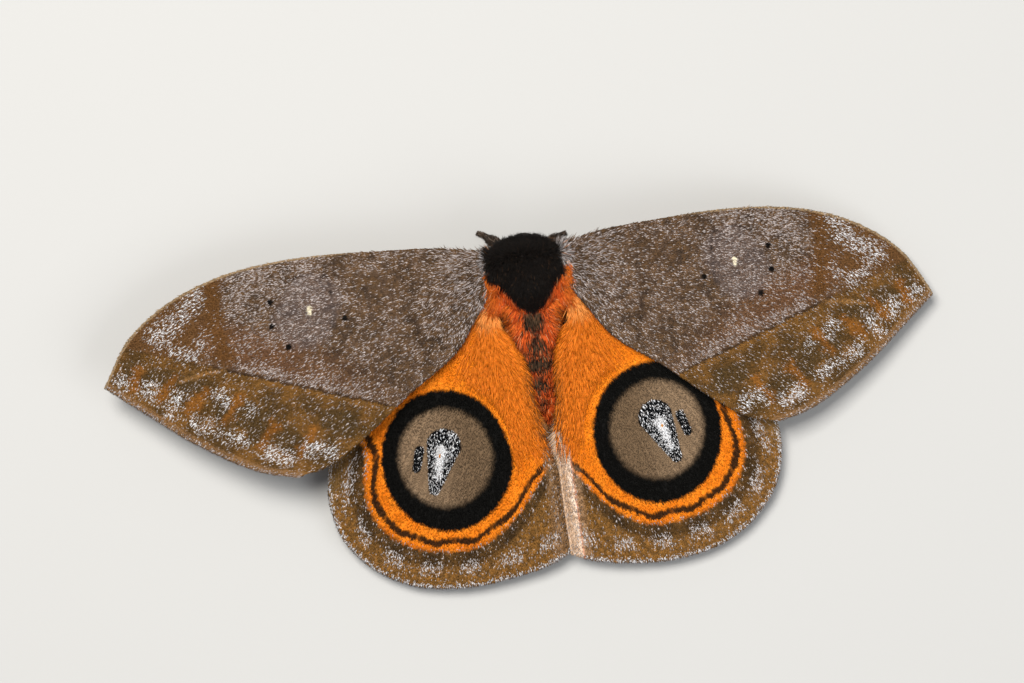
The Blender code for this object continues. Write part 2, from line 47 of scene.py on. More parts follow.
# The skin of the head, thorax, abdomen and legs.
# On the living moth this is one jointed shell of brown horn. It is made here from rounded masses set on the
# body's own middle line and melted into one surface, which the coat hides nearly everywhere.
MM = 0.001
abdomen_low, abdomen_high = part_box("abdomen")
MIDLINE_X = (abdomen_low.x + abdomen_high.x) / 2
WAIST_BACK = 5.0
MIDDLE_Y = abdomen_low.y - WAIST_BACK * MM
ORIGIN = np.array((MIDLINE_X, MIDDLE_Y, 0.0))
HEAD_MIDDLE, HEAD_HALF = (0, -3.0, 5.4), (1.55, 1.1, 1.42)
# Barrel, rear ring, collar, neck and head: middle and half sizes.
MASSES = (
    ((0, 1.1, 7.3), (3.65, 3.9, 3.35)),
    ((0, 3.3, 6.5), (2.95, 2.5, 2.55)),
    ((0.35, -1.3, 8.8), (3.7, 2.0, 1.5)),
    ((0, -2.0, 5.8), (1.3, 1.6, 1.4)),
    (HEAD_MIDDLE, HEAD_HALF),
)
# On each side, the root of the forewing and of the hindwing. The shoulder flaps differ, as the moth leans.
PAIRED_MASSES = (
    ((4.3, -0.1, 8.65), (1.0, 2.2, 0.7)),
    ((4.3, 3.55, 7.6), (1.0, 1.0, 0.5)),
)
FLAPS = (((3.7, 0.0, 9.4), (0.95, 1.75, 0.85)), ((-3.05, 0.0, 9.35), (0.9, 1.7, 0.85)))
# The abdomen's rings: distance back along the body, height, and radius.
ABDOMEN = ((3.6, 6.2, 1.6), (5.4, 6.1, 2.1), (7.7, 5.4, 2.35), (10.0, 4.75, 2.35), (12.5, 4.05, 2.2),
           (15.0, 3.45, 1.9), (17.5, 2.95, 1.45), (19.4, 2.6, 0.95), (20.6, 2.45, 0.4))
# Each leg from its hip to its claws, and how thick it is there. The right forefoot is drawn in.
MID_LEG = ((1.7, 0.9, 4.6), (2.3, 0.9, 2.5), (3.9, 0.8, 3.4), (5.3, 0.6, 4.2), (6.4, 0.5, 3.2),
           (7.7, 0.3, 1.5), (8.5, 0.2, 0.7), (9.6, 0.0, 0.3), (11.1, -0.27, 0.26))
HIND_LEG = ((1.5, 3.1, 4.6), (2.2, 3.3, 2.5), (3.8, 5.2, 3.2), (5.0, 7.0, 3.6), (5.9, 8.8, 2.8),
            (7.0, 11.4, 1.4), (7.6, 12.8, 0.7), (8.3, 14.4, 0.3), (9.25, 16.9, 0.26))
LEGS = {
    "leg_fore_left": ((1.25, -1.3, 4.4), (1.6, -1.9, 2.5), (2.4, -2.6, 2.9), (3.1, -3.2, 3.9),
                      (3.6, -3.7, 3.2), (4.2, -4.2, 1.7), (4.6, -4.6, 0.75), (5.0, -4.9, 0.32),
                      (5.55, -5.2, 0.28)),
    "leg_fore_right": ((1.25, -1.3, 4.4), (1.7, -1.8, 2.5), (2.5, -2.4, 2.9), (3.3, -2.8, 3.9),
                       (3.8, -3.1, 3.2), (4.3, -3.4, 1.7), (4.6, -3.6, 0.75), (4.9, -3.7, 0.32),
                       (5.35, -3.88, 0.28)),
    "leg_mid_left": MID_LEG,
    "leg_mid_right": MID_LEG,
    "leg_hind_left": HIND_LEG,
    "leg_hind_right": HIND_LEG,
}
LEG_THICKNESS = (0.5, 0.55, 0.5, 0.42, 0.5, 0.42, 0.29, 0.25, 0.19)
STEPS_PER_KNOT = 6
SKIN_VOXEL = 0.17


def place(points):
    """Points in millimetres from the body's own middle, as places in the frame in metres."""
    return np.asarray(points, float) * MM + ORIGIN


def eased(value):
    """A smooth step from 0 to 1."""
    value = np.clip(value, 0.0, 1.0)
    return value * value * (3 - 2 * value)


def side_of(name):
    return 1 if name.endswith("left") else -1


def deselect():
    bpy.ops.object.select_all(action="DESELECT")


def curve_at(knots, shares):
    """Points and directions at shares of the length of a smooth curve through the knots."""
    knots = np.asarray(knots, float)
    shares = np.asarray(shares, float)
    along = np.concatenate(([0.0], np.cumsum(np.linalg.norm(np.diff(knots, axis=0), axis=1))))
    slopes = np.gradient(knots, along, axis=0)
    at = shares * along[-1]
    i = np.clip(np.searchsorted(along, at, side="right") - 1, 0, len(knots) - 2)
    span = (along[i + 1] - along[i])[..., None]
    t = (at - along[i])[..., None] / span
    points = ((1 + 2 * t) * (1 - t) ** 2 * knots[i] + t * (1 - t) ** 2 * span * slopes[i]
              + t * t * (3 - 2 * t) * knots[i + 1] - t * t * (1 - t) * span * slopes[i + 1])
    headings = ((6 * t * t - 6 * t) / span * (knots[i] - knots[i + 1])
                + (3 * t * t - 4 * t + 1) * slopes[i] + (3 * t * t - 2 * t) * slopes[i + 1])
    return points, headings / np.linalg.norm(headings, axis=-1, keepdims=True)


def add_mass(middle, half):
    """A rounded mass of the body, stretched to its three half sizes."""
    bpy.ops.mesh.primitive_uv_sphere_add(segments=32, ring_count=20, radius=MM, location=place(middle))
    mass = bpy.context.object
    mass.scale = half
    bpy.ops.object.transform_apply(location=True, rotation=True, scale=True)
    return mass


def add_limb(name, knots, thickness, side=1):
    """A tapering limb through the knots, drawn as a bevelled curve and turned into a mesh."""
    curve = bpy.data.curves.new(name, "CURVE")
    curve.dimensions = "3D"
    curve.bevel_depth = MM
    curve.bevel_resolution = 3
    curve.use_fill_caps = True
    shares = np.linspace(0, 1, STEPS_PER_KNOT * len(knots))
    points, _ = curve_at(knots, shares)
    points = place(points * (side, 1, 1))
    radii = np.interp(shares, np.linspace(0, 1, len(thickness)), thickness)
    spline = curve.splines.new("POLY")
    spline.points.add(len(points) - 1)
    for knot, point, radius in zip(spline.points, points, radii):
        knot.co = (*point, 1)
        knot.radius = radius
    limb = bpy.data.objects.new(name, curve)
    bpy.context.scene.collection.objects.link(limb)
    deselect()
    limb.select_set(True)
    bpy.context.view_layer.objects.active = limb
    bpy.ops.object.convert(target="MESH")
    return bpy.context.object


deselect()
masses = [add_mass(middle, half) for middle, half in MASSES + FLAPS]
for middle, half in PAIRED_MASSES:
    for side in (1, -1):
        masses.append(add_mass(np.array(middle) * (side, 1, 1), half))
abdomen_knots = [(0, y, z) for y, z, _ in ABDOMEN]
abdomen_radii = [radius for _, _, radius in ABDOMEN]
masses.append(add_limb("abdomen_mass", abdomen_knots, abdomen_radii))
for leg, knots in LEGS.items():
    masses.append(add_limb(leg + "_mass", knots, LEG_THICKNESS, side_of(leg)))
deselect()
for mass in masses:
    mass.select_set(True)
bpy.context.view_layer.objects.active = masses[0]
bpy.ops.object.join()
skin = bpy.context.object
skin.name = "body_skin"
melt = skin.modifiers.new("melt", "REMESH")
melt.mode = "VOXEL"
melt.voxel_size = SKIN_VOXEL * MM
melt.use_smooth_shade = True
bpy.ops.object.modifier_apply(modifier=melt.name)
soften = skin.modifiers.new("soften", "CORRECTIVE_SMOOTH")
soften.iterations = 4
soften.use_only_smooth = True
bpy.ops.object.modifier_apply(modifier=soften.name)
skin_points = np.zeros(len(skin.data.vertices) * 3, np.float32)
skin.data.vertices.foreach_get("co", skin_points)
skin_points = (skin_points.reshape(-1, 3) - ORIGIN) / MM

# Half the width of the black shield on the thorax, from its front to its point over the abdomen, and how
# far its front leans to the left.
SHIELD_BACK = (-5.0, -4.1, -3.4, -2.4, 0.2, 1.0, 1.5, 1.9, 3.0, 4.7, 6.0)
SHIELD_HALF = (1.6, 2.6, 3.9, 4.9, 4.8, 5.1, 4.7, 3.9, 3.0, 1.8, 0.0)
SHIELD_LEAN = 0.4
# The dark saddles down the abdomen: start, end, and half their width.
SADDLES = ((5.7, 8.2, 1.35), (8.1, 9.6, 0.5), (9.5, 10.9, 2.3), (11.4, 13.3, 2.0), (13.2, 14.3, 0.35),
           (14.2, 15.9, 1.0), (17.0, 18.2, 0.65), (20.1, 21.6, 0.9))
SADDLE_EDGE = 0.7
MIDDLE_STRIPE_HALF = 0.42
# The thorax ends at the waist, and its flanks turn brown between two heights. The face lies in front of one
# limit and below another, the legs leave the body below and beside theirs, and the coat is grey in front.
WAIST_Y = 6.2
FLANK_HIGH, FLANK_LOW = 6.4, 5.0
FACE_Y, FACE_Z = -2.5, 7.4
LEG_Z, LEG_X = 4.9, 2.5
GREY_HAIR_Y = 0.3


def body_tone(points):
    """How black, how banded and how orange the body's coat is. An orange of -1 is grey."""
    x, y, z = np.asarray(points, float).T
    lean = SHIELD_LEAN * eased((3.0 - y) / 4.0)
    inside = np.interp(y, SHIELD_BACK, SHIELD_HALF) - np.abs(x - lean)
    black = eased(inside / 0.5 + 0.5)
    stripe = eased((MIDDLE_STRIPE_HALF - np.abs(x)) / 0.4 + 0.5)
    band = stripe * eased((16.5 - y) / 1.0) * eased((y - 5.0) / 0.6) * 0.75
    for start, end, half in SADDLES:
        here = eased((y - start) / SADDLE_EDGE + 0.5) * eased((end - y) / SADDLE_EDGE + 0.5)
        band = np.maximum(band, here * eased((half - np.abs(x)) / SADDLE_EDGE + 0.5))
    low = eased((FLANK_HIGH - z) / (FLANK_HIGH - FLANK_LOW)) * eased(WAIST_Y - y)
    belly = eased((3.1 - z) / 1.2) * eased((17 - y) / 4)
    on_legs = (z < LEG_Z) & (np.abs(x) > LEG_X)
    band = np.where(on_legs, 1.0, np.maximum(band, np.maximum(low, 0.8 * belly)))
    face = (y < FACE_Y) & (z < FACE_Z)
    black = np.where(face, 0.75, black * (1 - low))
    band = np.where(face, 1.0, band)
    warm = np.where(y < GREY_HAIR_Y, -1.0, eased((np.abs(x) - 3.3) / 1.7) * (y < 6))
    return np.stack((black, band, warm), axis=1)


def keep_mark(mesh, label, values):
    """Keeps a vector for every point of a mesh, for its material to read."""
    kept = mesh.attributes.new(label, "FLOAT_VECTOR", "POINT")
    kept.data.foreach_set("vector", np.asarray(values, np.float32).ravel())


def linear(red, green, blue):
    """A colour seen as 0 to 255 on a screen, as the shader takes it."""
    parts = [((c / 255 + 0.055) / 1.055) ** 2.4 if c > 10 else c / 3294.6 for c in (red, green, blue)]
    return (*parts, 1.0)


def new_material(name, roughness, gloss=0.15):
    """A material, its node tree and its one shader. Gloss is how strongly it mirrors light."""
    material = bpy.data.materials.new(name)
    material.use_nodes = True
    shader = material.node_tree.nodes["Principled BSDF"]
    shader.inputs["Roughness"].default_value = roughness
    shader.inputs["Specular IOR Level"].default_value = gloss
    return material, material.node_tree, shader


def link(value, socket):
    """Wires an output to a socket, or sets the socket to a plain value."""
    if isinstance(value, bpy.types.NodeSocket):
        socket.id_data.links.new(value, socket)
    else:
        socket.default_value = value


def beside(values, kind):
    """A new node of a kind, in the same tree as the first of the values that comes from a node."""
    wired = next(value for value in values if isinstance(value, bpy.types.NodeSocket))
    return wired.id_data.nodes.new(kind)


def calc(operation, *values):
    """One step of arithmetic."""
    step = beside(values, "ShaderNodeMath")
    step.operation = operation
    for value, socket in zip(values, step.inputs):
        link(value, socket)
    return step.outputs[0]


def rise(value, start, end):
    """0 up to start, 1 from end on, and a smooth step between. Start may be above end."""
    step = beside((value,), "ShaderNodeMapRange")
    step.interpolation_type = "SMOOTHSTEP"
    link(value, step.inputs["Value"])
    flip = start > end
    step.inputs["From Min"].default_value = min(start, end)
    step.inputs["From Max"].default_value = max(start, end)
    step.inputs["To Min"].default_value = 1.0 if flip else 0.0
    step.inputs["To Max"].default_value = 0.0 if flip else 1.0
    return step.outputs["Result"]


def tint(mask, under, over):
    """The colour under, covered by the colour over where the mask is 1."""
    mix = beside((mask,), "ShaderNodeMix")
    mix.data_type = "RGBA"
    link(mask, mix.inputs[0])
    link(under, mix.inputs[6])
    link(over, mix.inputs[7])
    return mix.outputs[2]


def noise(vector, scale, detail=2.0):
    """Cloudy variation round 0.5."""
    cloud = beside((vector,), "ShaderNodeTexNoise")
    link(vector, cloud.inputs["Vector"])
    cloud.inputs["Scale"].default_value = scale
    cloud.inputs["Detail"].default_value = detail
    return cloud.outputs["Fac"]


def split(vector):
    """The three parts of a vector."""
    parts = beside((vector,), "ShaderNodeSeparateXYZ")
    link(vector, parts.inputs[0])
    return parts.outputs


def read(tree, label):
    """A vector kept on the mesh."""
    source = tree.nodes.new("ShaderNodeAttribute")
    source.attribute_name = label
    return source.outputs["Vector"]


def seat_on(tree):
    """The place on the piece itself, in metres."""
    return tree.nodes.new("ShaderNodeTexCoord").outputs["Object"]


def bump(height, distance, shader):
    """Feeds a height in millimetres to the shader's normal."""
    relief = beside((height,), "ShaderNodeBump")
    relief.inputs["Distance"].default_value = distance * MM
    link(height, relief.inputs["Height"])
    link(relief.outputs["Normal"], shader.inputs["Normal"])


def new_group(name, inputs, outputs):
    """An empty node group with named inputs and outputs, and its two ends."""
    group = bpy.data.node_groups.new(name, "ShaderNodeTree")
    for label, kind in inputs:
        group.interface.new_socket(name=label, in_out="INPUT", socket_type=kind)
    for label, kind in outputs:
        group.interface.new_socket(name=label, in_out="OUTPUT", socket_type=kind)
    return group, group.nodes.new("NodeGroupInput").outputs, group.nodes.new("NodeGroupOutput").inputs


def use_group(tree, group, **values):
    """A node group placed in a material, with its inputs wired."""
    node = tree.nodes.new("ShaderNodeGroup")
    node.node_tree = group
    for label, value in values.items():
        link(value, node.inputs[label])
    return node.outputs


VECTOR, COLOUR, FLOAT = "NodeSocketVector", "NodeSocketColor", "NodeSocketFloat"
body_markings, given, result = new_group("body_markings", (("Tone", VECTOR), ("Luck", VECTOR)),
                                         (("Colour", COLOUR),))
black, banded, warm = split(given["Tone"])
luck, second_luck, _ = split(given["Luck"])
red_hair = tint(luck, linear(172, 58, 16), linear(226, 102, 36))
orange_hair = tint(luck, linear(186, 78, 20), linear(226, 124, 40))
colour = tint(warm, red_hair, orange_hair)
grey_hair = tint(rise(luck, 0.45, 0.75), linear(88, 72, 60), linear(196, 190, 188))
colour = tint(rise(warm, -0.3, -0.7), colour, grey_hair)
# A few hairs through the coat are pale tan: painted glints of light caught on single hairs.
colour = tint(rise(second_luck, 0.94, 0.98), colour, linear(214, 148, 100))
colour = tint(banded, colour, tint(luck, linear(20, 13, 8), linear(88, 66, 44)))
black_hair = tint(luck, linear(5, 3, 2), linear(20, 13, 7))
black_hair = tint(rise(second_luck, 0.965, 0.99), black_hair, linear(62, 42, 25))
link(tint(black, colour, black_hair), result["Colour"])

body_horn, tree, shader = new_material("body_horn", 0.7, 0.1)
seat = seat_on(tree)
marked = use_group(tree, body_markings, Tone=read(tree, "tone"))["Colour"]
link(tint(calc("MULTIPLY", noise(seat, 900.0), 0.5), marked, linear(40, 27, 17)),
     shader.inputs["Base Color"])
bump(noise(seat, 2400.0), 0.05, shader)
keep_mark(skin.data, "tone", body_tone(skin_points))
skin.data.materials.clear()
skin.data.materials.append(body_horn)
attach(skin, "root")
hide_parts("thorax", "head", "abdomen", *LEGS)

# The coat of the thorax.
# The back carries a shield of dense black-brown hair, from a collar that hangs over the head to a point
# over the abdomen. Its flanks are rust red. Every hair is a thin closed spike rooted in the skin.
COAT_SEED = 11
HEAD_BACK_Y = -2.2
# The side of the little square of the unwrap that each spike takes.
UNWRAP_PATCH = 0.003


def unit(vectors):
    return vectors / np.maximum(np.linalg.norm(vectors, axis=-1, keepdims=True), 1e-9)


def spikes(name, roots, tips, out, width, unwrap, marks, material, rings=1, bow=0.0, sink=0.06):
    """One mesh of closed, tapering spikes from their roots, sunk a little, to their tips.

    Each is flat, width across, and bows out in its middle. With no rings it is a four-sided scale.
    Marks are vectors that every point of a spike carries. Unwrap is its root's place on the skin's own map.
    """
    count = len(roots)
    reach = tips - roots
    across = unit(np.cross(reach, out))
    over = unit(np.cross(across, reach))
    width, bow = (np.broadcast_to(np.asarray(v, float), (count,))[:, None] for v in (width, bow))
    layers = [roots - out * sink]
    for ring in range(rings):
        share = (ring + 1) / (rings + 1) if rings > 1 else 0.36
        middle = roots + reach * share + out * bow * 4 * share * (1 - share)
        half = width * 0.5 * (1.12 - 0.55 * share if rings > 1 else 1.0)
        layers += [middle - across * half, middle + across * half, middle + over * half * 0.66]
    if not rings:
        middle = roots + reach * 0.4 + out * bow
        layers += [middle - across * width * 0.5, middle + across * width * 0.5]
    layers.append(tips)
    points = place(np.stack(layers, axis=1).reshape(-1, 3))
    per = len(layers)
    tip = per - 1
    if rings:
        last = tip - 3
        faces = [(0, 1, 2), (0, 3, 1), (0, 2, 3),
                 (last + 1, last, tip), (last + 2, last + 1, tip), (last, last + 2, tip)]
    else:
        faces = [(0, 3, 2), (0, 1, 3), (0, 2, 1), (3, 1, 2)]
    for ring in range(rings - 1):
        a, b = 1 + 3 * ring, 4 + 3 * ring
        for first, second in ((0, 1), (1, 2), (2, 0)):
            faces += [(a + first, b + second, a + second), (a + first, b + first, b + second)]
    faces = np.array(faces)
    corners = (np.arange(count)[:, None, None] * per + faces[None]).reshape(-1)
    mesh = bpy.data.meshes.new(name)
    mesh.vertices.add(len(points))
    mesh.vertices.foreach_set("co", points.astype(np.float32).ravel())
    mesh.loops.add(len(corners))
    mesh.loops.foreach_set("vertex_index", corners.astype(np.int32))
    mesh.polygons.add(len(corners) // 3)
    mesh.polygons.foreach_set("loop_start", np.arange(0, len(corners), 3, dtype=np.int32))
    mesh.polygons.foreach_set("loop_total", np.full(len(corners) // 3, 3, np.int32))
    mesh.update(calc_edges=True)
    patch = mesh.uv_layers.new(name="OFBake")
    spot = np.stack((np.arange(per) / (per - 1), (np.arange(per) % 3) / 2), axis=1) * UNWRAP_PATCH
    uv = np.clip(unwrap, 0.002, 0.995)[corners // per] + spot[corners % per]
    patch.data.foreach_set("uv", uv.astype(np.float32).ravel())
    for label, values in marks.items():
        keep_mark(mesh, label, np.repeat(values, per, axis=0))
    if rings:
        mesh.shade_smooth()
    mesh.materials.append(material)
    coat = bpy.data.objects.new(name, mesh)
    bpy.context.scene.collection.objects.link(coat)
    return coat


def skin_spots(draw, count, chance):
    """Places, normals and unwrap of points spread over the skin, by area times a chance at each place."""
    mesh = skin.data
    mesh.calc_loop_triangles()
    corners = np.zeros(len(mesh.loop_triangles) * 3, np.int32)
    mesh.loop_triangles.foreach_get("vertices", corners)
    a, b, c = (skin_points[corners[k::3]] for k in range(3))
    facing = np.cross(b - a, c - a)
    area = np.linalg.norm(facing, axis=1)
    normals = unit(facing)
    weight = area * chance((a + b + c) / 3, normals)
    picked = draw.choice(len(area), count, p=weight / weight.sum())
    share = np.sort(draw.uniform(0, 1, (2, count)), axis=0)[:, :, None]
    spots = a[picked] * share[0] + b[picked] * (share[1] - share[0]) + c[picked] * (1 - share[1])
    normals = normals[picked]
    axis_z = np.interp(spots[:, 1], (-3.0, 3.0, 8.0, 20.0), (6.5, 6.8, 5.4, 2.6))
    around = np.arctan2(spots[:, 0], spots[:, 2] - axis_z) / (2 * math.pi) + 0.5
    return spots, normals, np.stack((around, (spots[:, 1] + 6) / 28), axis=1)


def lie(normals, heading, jitter, draw):
    """Directions along the skin near a heading, each turned a little at random."""
    heading = heading + draw.normal(0, 1, heading.shape) * np.reshape(jitter, (-1, 1))
    return unit(heading - normals * np.sum(normals * heading, axis=1, keepdims=True))


def comb(draw, roots, normals, heading, jitter, reach, lift, short=1.0, flat=1.0):
    """The tips of hairs laid along a heading, their reach and lift drawn between two limits."""
    along = lie(normals, heading, jitter, draw)
    size = (len(roots), 1)
    return roots + along * draw.uniform(*reach, size) * short + normals * draw.uniform(*lift, size) * flat


def gather(draw, roots, tips, hairs_in_lock, pull):
    """Draws the tips of neighbouring hairs together, so that they hang in locks."""
    leaders = draw.choice(len(roots), max(len(roots) // hairs_in_lock, 1), replace=False)
    own = np.empty(len(roots), int)
    for start in range(0, len(roots), 2000):
        away = roots[start:start + 2000, None] - roots[None, leaders]
        own[start:start + 2000] = leaders[np.argmin((away ** 2).sum(axis=2), axis=1)]
    return tips + (tips[own] - tips) * pull


def dice(draw, count):
    """Three random numbers for each hair, which its colour is drawn from."""
    return draw.uniform(0, 1, (count, 3))


def body_flow(points):
    """Which way the body's coat is combed."""
    x, y, z = points.T
    forward = eased((-0.7 - y) / 1.5) * eased((z - 6.8) / 1.0)
    outward = np.sign(x) * eased((np.abs(x) - 2.6) / 2.2)
    down = -0.15 - 0.5 * eased((7.0 - z) / 2.5)
    back = np.stack((0.04 * x + 0.4 * outward, np.ones(len(x)), down), axis=1)
    ahead = np.stack((0.2 * x, -np.ones(len(x)), 0.0 * x - 0.1), axis=1)
    return back + (ahead - back) * forward[:, None]


fur, tree, shader = new_material("body_fur", 0.62)
link(use_group(tree, body_markings, Tone=read(tree, "tone"), Luck=read(tree, "luck"))["Colour"],
     shader.inputs["Base Color"])


def on_thorax(points, normals):
    x, y, z = points.T
    on_head = (y < HEAD_BACK_Y) & (z < 7.2)
    on_leg = (z < 4.1) & (normals[:, 2] > 0) | (z < LEG_Z) & (np.abs(x) > LEG_X)
    return (y < 5.6) & ~on_head & ~on_leg & (z > 3.4)


def parting(points):
    """1 on the line across the back where hair that lies forward parts from hair that lies back."""
    return np.exp(-((points[:, 1] + 1.5) / 0.7) ** 2)


def on_back(points, normals):
    crowded = (0.25 + 0.75 * eased(normals[:, 2] + 0.6)) * (1 + 1.3 * parting(points))
    return on_thorax(points, normals) * (points[:, 2] > 7.2) * crowded


def on_collar(points, normals):
    """The front of the collar, whose hair hangs over the head."""
    return (points[:, 1] < -1.9) * (points[:, 2] > 8.1) * (normals[:, 2] > -0.5)


def on_shoulder(points, normals):
    """Behind and beside the shield, where the long rust hair grows."""
    _, y, z = points.T
    behind = eased((y - 0.2) / 1.2) * eased((5.4 - y) / 0.6)
    beside_shield = 1 - 0.9 * body_tone(points + (0, 1.0, 0))[:, 0]
    return behind * (z > 6.6) * beside_shield * on_thorax(points, normals)


# Name, where it grows, hairs, length, width, rise, hairs in a lock, how far a lock draws together, rings.
THORAX_COATS = (
    ("thorax_under_fur", on_thorax, 5500, 1.0, 0.1, 0.3, 30, 0.15, 1),
    ("thorax_shield_fur", on_back, 10500, 1.15, 0.075, 0.45, 22, 0.22, 2),
    ("thorax_collar_fur", on_collar, 2600, 1.75, 0.075, 0.3, 14, 0.15, 2),
    ("thorax_shoulder_hair", on_shoulder, 3200, 2.3, 0.075, 0.42, 22, 0.35, 2),
)
draw = np.random.RandomState(COAT_SEED)
for name, where, count, length, width, up, hairs_in_lock, pull, rings in THORAX_COATS:
    roots, normals, unwrap = skin_spots(draw, count, where)
    along = lie(normals, body_flow(roots), 0.3, draw)
    lengths = length * draw.uniform(0.7, 1.25, (count, 1))
    lifted = up * (1 + 0.8 * parting(roots)[:, None]) * draw.uniform(0.5, 1.5, (count, 1))
    tips = gather(draw, roots, roots + along * lengths + normals * lifted, hairs_in_lock, pull)
    straggle = draw.normal(0, 0.1, (count, 3))
    marks = {"tone": body_tone(roots + (tips - roots) * 0.55 + straggle), "luck": dice(draw, count)}
    coat = spikes(name, roots, tips, normals, width, unwrap, marks, fur, rings=rings, bow=0.12, sink=0.15)
    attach(coat, "root")

# The coat of the abdomen.
# Rust-red hair with a dark saddle on the back of every ring, lying flat towards the tail, and brown below.
ABDOMEN_HAIRS, ABDOMEN_HAIR, ABDOMEN_LIFT, ABDOMEN_WIDTH = 8000, (0.9, 1.5), (0.15, 0.55), 0.085
WAIST_HAIRS, WAIST_HAIR, WAIST_WIDTH = 4700, (1.6, 3.0), 0.08


def on_abdomen(points, normals):
    x, y, z = points.T
    return (y > 4.6) & ((z > 3.4) & (np.abs(x) < 2.6) | (np.abs(x) < 1.9)) & (z > 1.3)


roots, normals, unwrap = skin_spots(draw, ABDOMEN_HAIRS, on_abdomen)
toward_tail = np.tile((0.0, 1.0, -0.12), (ABDOMEN_HAIRS, 1))
short = 1 - 0.3 * eased((roots[:, 1:2] - 16.5) / 4)
tips = comb(draw, roots, normals, toward_tail, 0.2, ABDOMEN_HAIR, ABDOMEN_LIFT, short)
tips = gather(draw, roots, tips, 24, 0.4)
straggle = draw.normal(0, 1, (ABDOMEN_HAIRS, 3)) * (0.28, 0.38, 0.0)
marks = {"tone": body_tone(roots + (tips - roots) * 0.6 + straggle), "luck": dice(draw, ABDOMEN_HAIRS)}
coat = spikes("abdomen_fur", roots, tips, normals, ABDOMEN_WIDTH, unwrap, marks, fur, rings=2, bow=0.1,
              sink=0.12)
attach(coat, "root")


def on_flank(points, normals):
    """Both sides of the waist, where red hair fills the notch between the abdomen and the hindwing."""
    x, y, z = points.T
    aside = np.abs(x)
    return (y > 3.6) * (y < 8.6) * (z > 4.6) * (z < 7.9) * eased((aside - 0.9) / 0.6) * (aside < 3.4)


roots, normals, unwrap = skin_spots(draw, WAIST_HAIRS, on_flank)
count = WAIST_HAIRS
widest = 1.5 + 1.3 * eased((7.0 - roots[:, 1]) / 1.5)
outward = np.sign(roots[:, 0]) * (draw.uniform(0.1, widest) * eased((8.8 - roots[:, 1]) / 2.0))
heading = np.stack((outward, np.ones(count), np.full(count, 0.2)), axis=1)
tips = roots + unit(heading + draw.normal(0, 0.12, (count, 3))) * draw.uniform(*WAIST_HAIR, (count, 1))
tips = gather(draw, roots, tips, 20, 0.3)
tones = np.zeros((count, 3))
tones[:, 1] = draw.uniform(0, 1, count) < 0.06
tones[:, 2] = eased((np.abs(tips[:, 0]) - 2.6) / 1.4)
marks = {"tone": tones, "luck": dice(draw, count)}
upward = np.tile((0, 0, 1.0), (count, 1))
coat = spikes("waist_hair", roots, tips, upward, WAIST_WIDTH, unwrap, marks, fur, rings=2, bow=0.15,
              sink=0.1)
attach(coat, "root")

# The coat of the legs.
# Dense grey-brown hair, shaggy on thigh and shin and short on the feet, which end in two small claws.
LEG_HAIRS, LEG_HAIR, LEG_LIFT, LEG_HAIR_WIDTH = 2700, (0.6, 1.15), (0.1, 0.42), 0.09
CLAW_LENGTH, CLAW_WIDTH, CLAW_DROP = 0.34, 0.1, 0.2
leg_fur, tree, shader = new_material("leg_fur", 0.7)
luck, second_luck, _ = split(read(tree, "luck"))
grey = tint(luck, linear(34, 27, 21), linear(84, 69, 57))
link(tint(rise(second_luck, 0.86, 0.92), grey, linear(132, 116, 102)), shader.inputs["Base Color"])
claw_horn, tree, shader = new_material("claw_horn", 0.35, 0.5)
seat = seat_on(tree)
link(tint(noise(seat, 3000.0), linear(22, 14, 9), linear(60, 38, 20)), shader.inputs["Base Color"])


def limb_spots(draw, count, knots, thickness, side=1, start=0.0):
    """Places, normals, headings and unwrap of points spread on a tapering limb."""
    shares = draw.uniform(start, 1.0, count)
    middles, headings = curve_at(np.asarray(knots, float) * (side, 1, 1), shares)
    radii = np.interp(shares, np.linspace(0, 1, len(thickness)), thickness)
    around = draw.uniform(0, 2 * math.pi, count)
    sideways = unit(np.cross(headings, (0.0, 0.0, 1.0)))
    upright = np.cross(sideways, headings)
    normals = sideways * np.cos(around)[:, None] + upright * np.sin(around)[:, None]
    unwrap = np.stack((around / (2 * math.pi), shares), axis=1)
    return middles + normals * radii[:, None], normals, headings, unwrap


for leg, knots in LEGS.items():
    side = side_of(leg)
    roots, normals, headings, unwrap = limb_spots(draw, LEG_HAIRS, knots, LEG_THICKNESS, side, 0.1)
    foot = eased((unwrap[:, 1:] - 0.62) / 0.15)
    tips = comb(draw, roots, normals, headings, 0.3, LEG_HAIR, LEG_LIFT, 1 - 0.6 * foot, 1 - 0.4 * foot)
    keep = (tips[:, 2] > 0.02) & (roots[:, 2] > 0.04)
    marks = {"luck": dice(draw, keep.sum())}
    coat = spikes(leg + "_fur", roots[keep], tips[keep], normals[keep], LEG_HAIR_WIDTH, unwrap[keep], marks,
                  leg_fur, rings=0)
    toe = np.array(knots[-1]) * (side, 1, 1)
    heading = unit(toe - np.array(knots[-2]) * (side, 1, 1))
    aside = unit(np.cross(heading, (0, 0, 1.0)))
    claw_roots = np.stack((toe + aside * 0.08, toe - aside * 0.08)) + (0, 0, 0.03)
    forked = np.stack((heading + aside * 0.5, heading - aside * 0.5))
    claw_tips = claw_roots + forked * CLAW_LENGTH + (0, 0, -CLAW_DROP)
    claws = spikes(leg + "_claws", claw_roots, claw_tips, np.tile((0, 0, 1.0), (2, 1)), CLAW_WIDTH,
                   np.full((2, 2), 0.5), {}, claw_horn, rings=3, bow=0.08, sink=0.0)
    for piece in (coat, claws):
        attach(piece, "root")

# The wings.
# Each is a thin double sheet stretched over stiff veins that fan out from the shoulder. The sheet is a
# grid bent between the leading edge, the outer margin and the inner margin, seen from above in millimetres.
WING_X = 4.9
MEMBRANE = 0.16
VEIN_RISE = 0.1
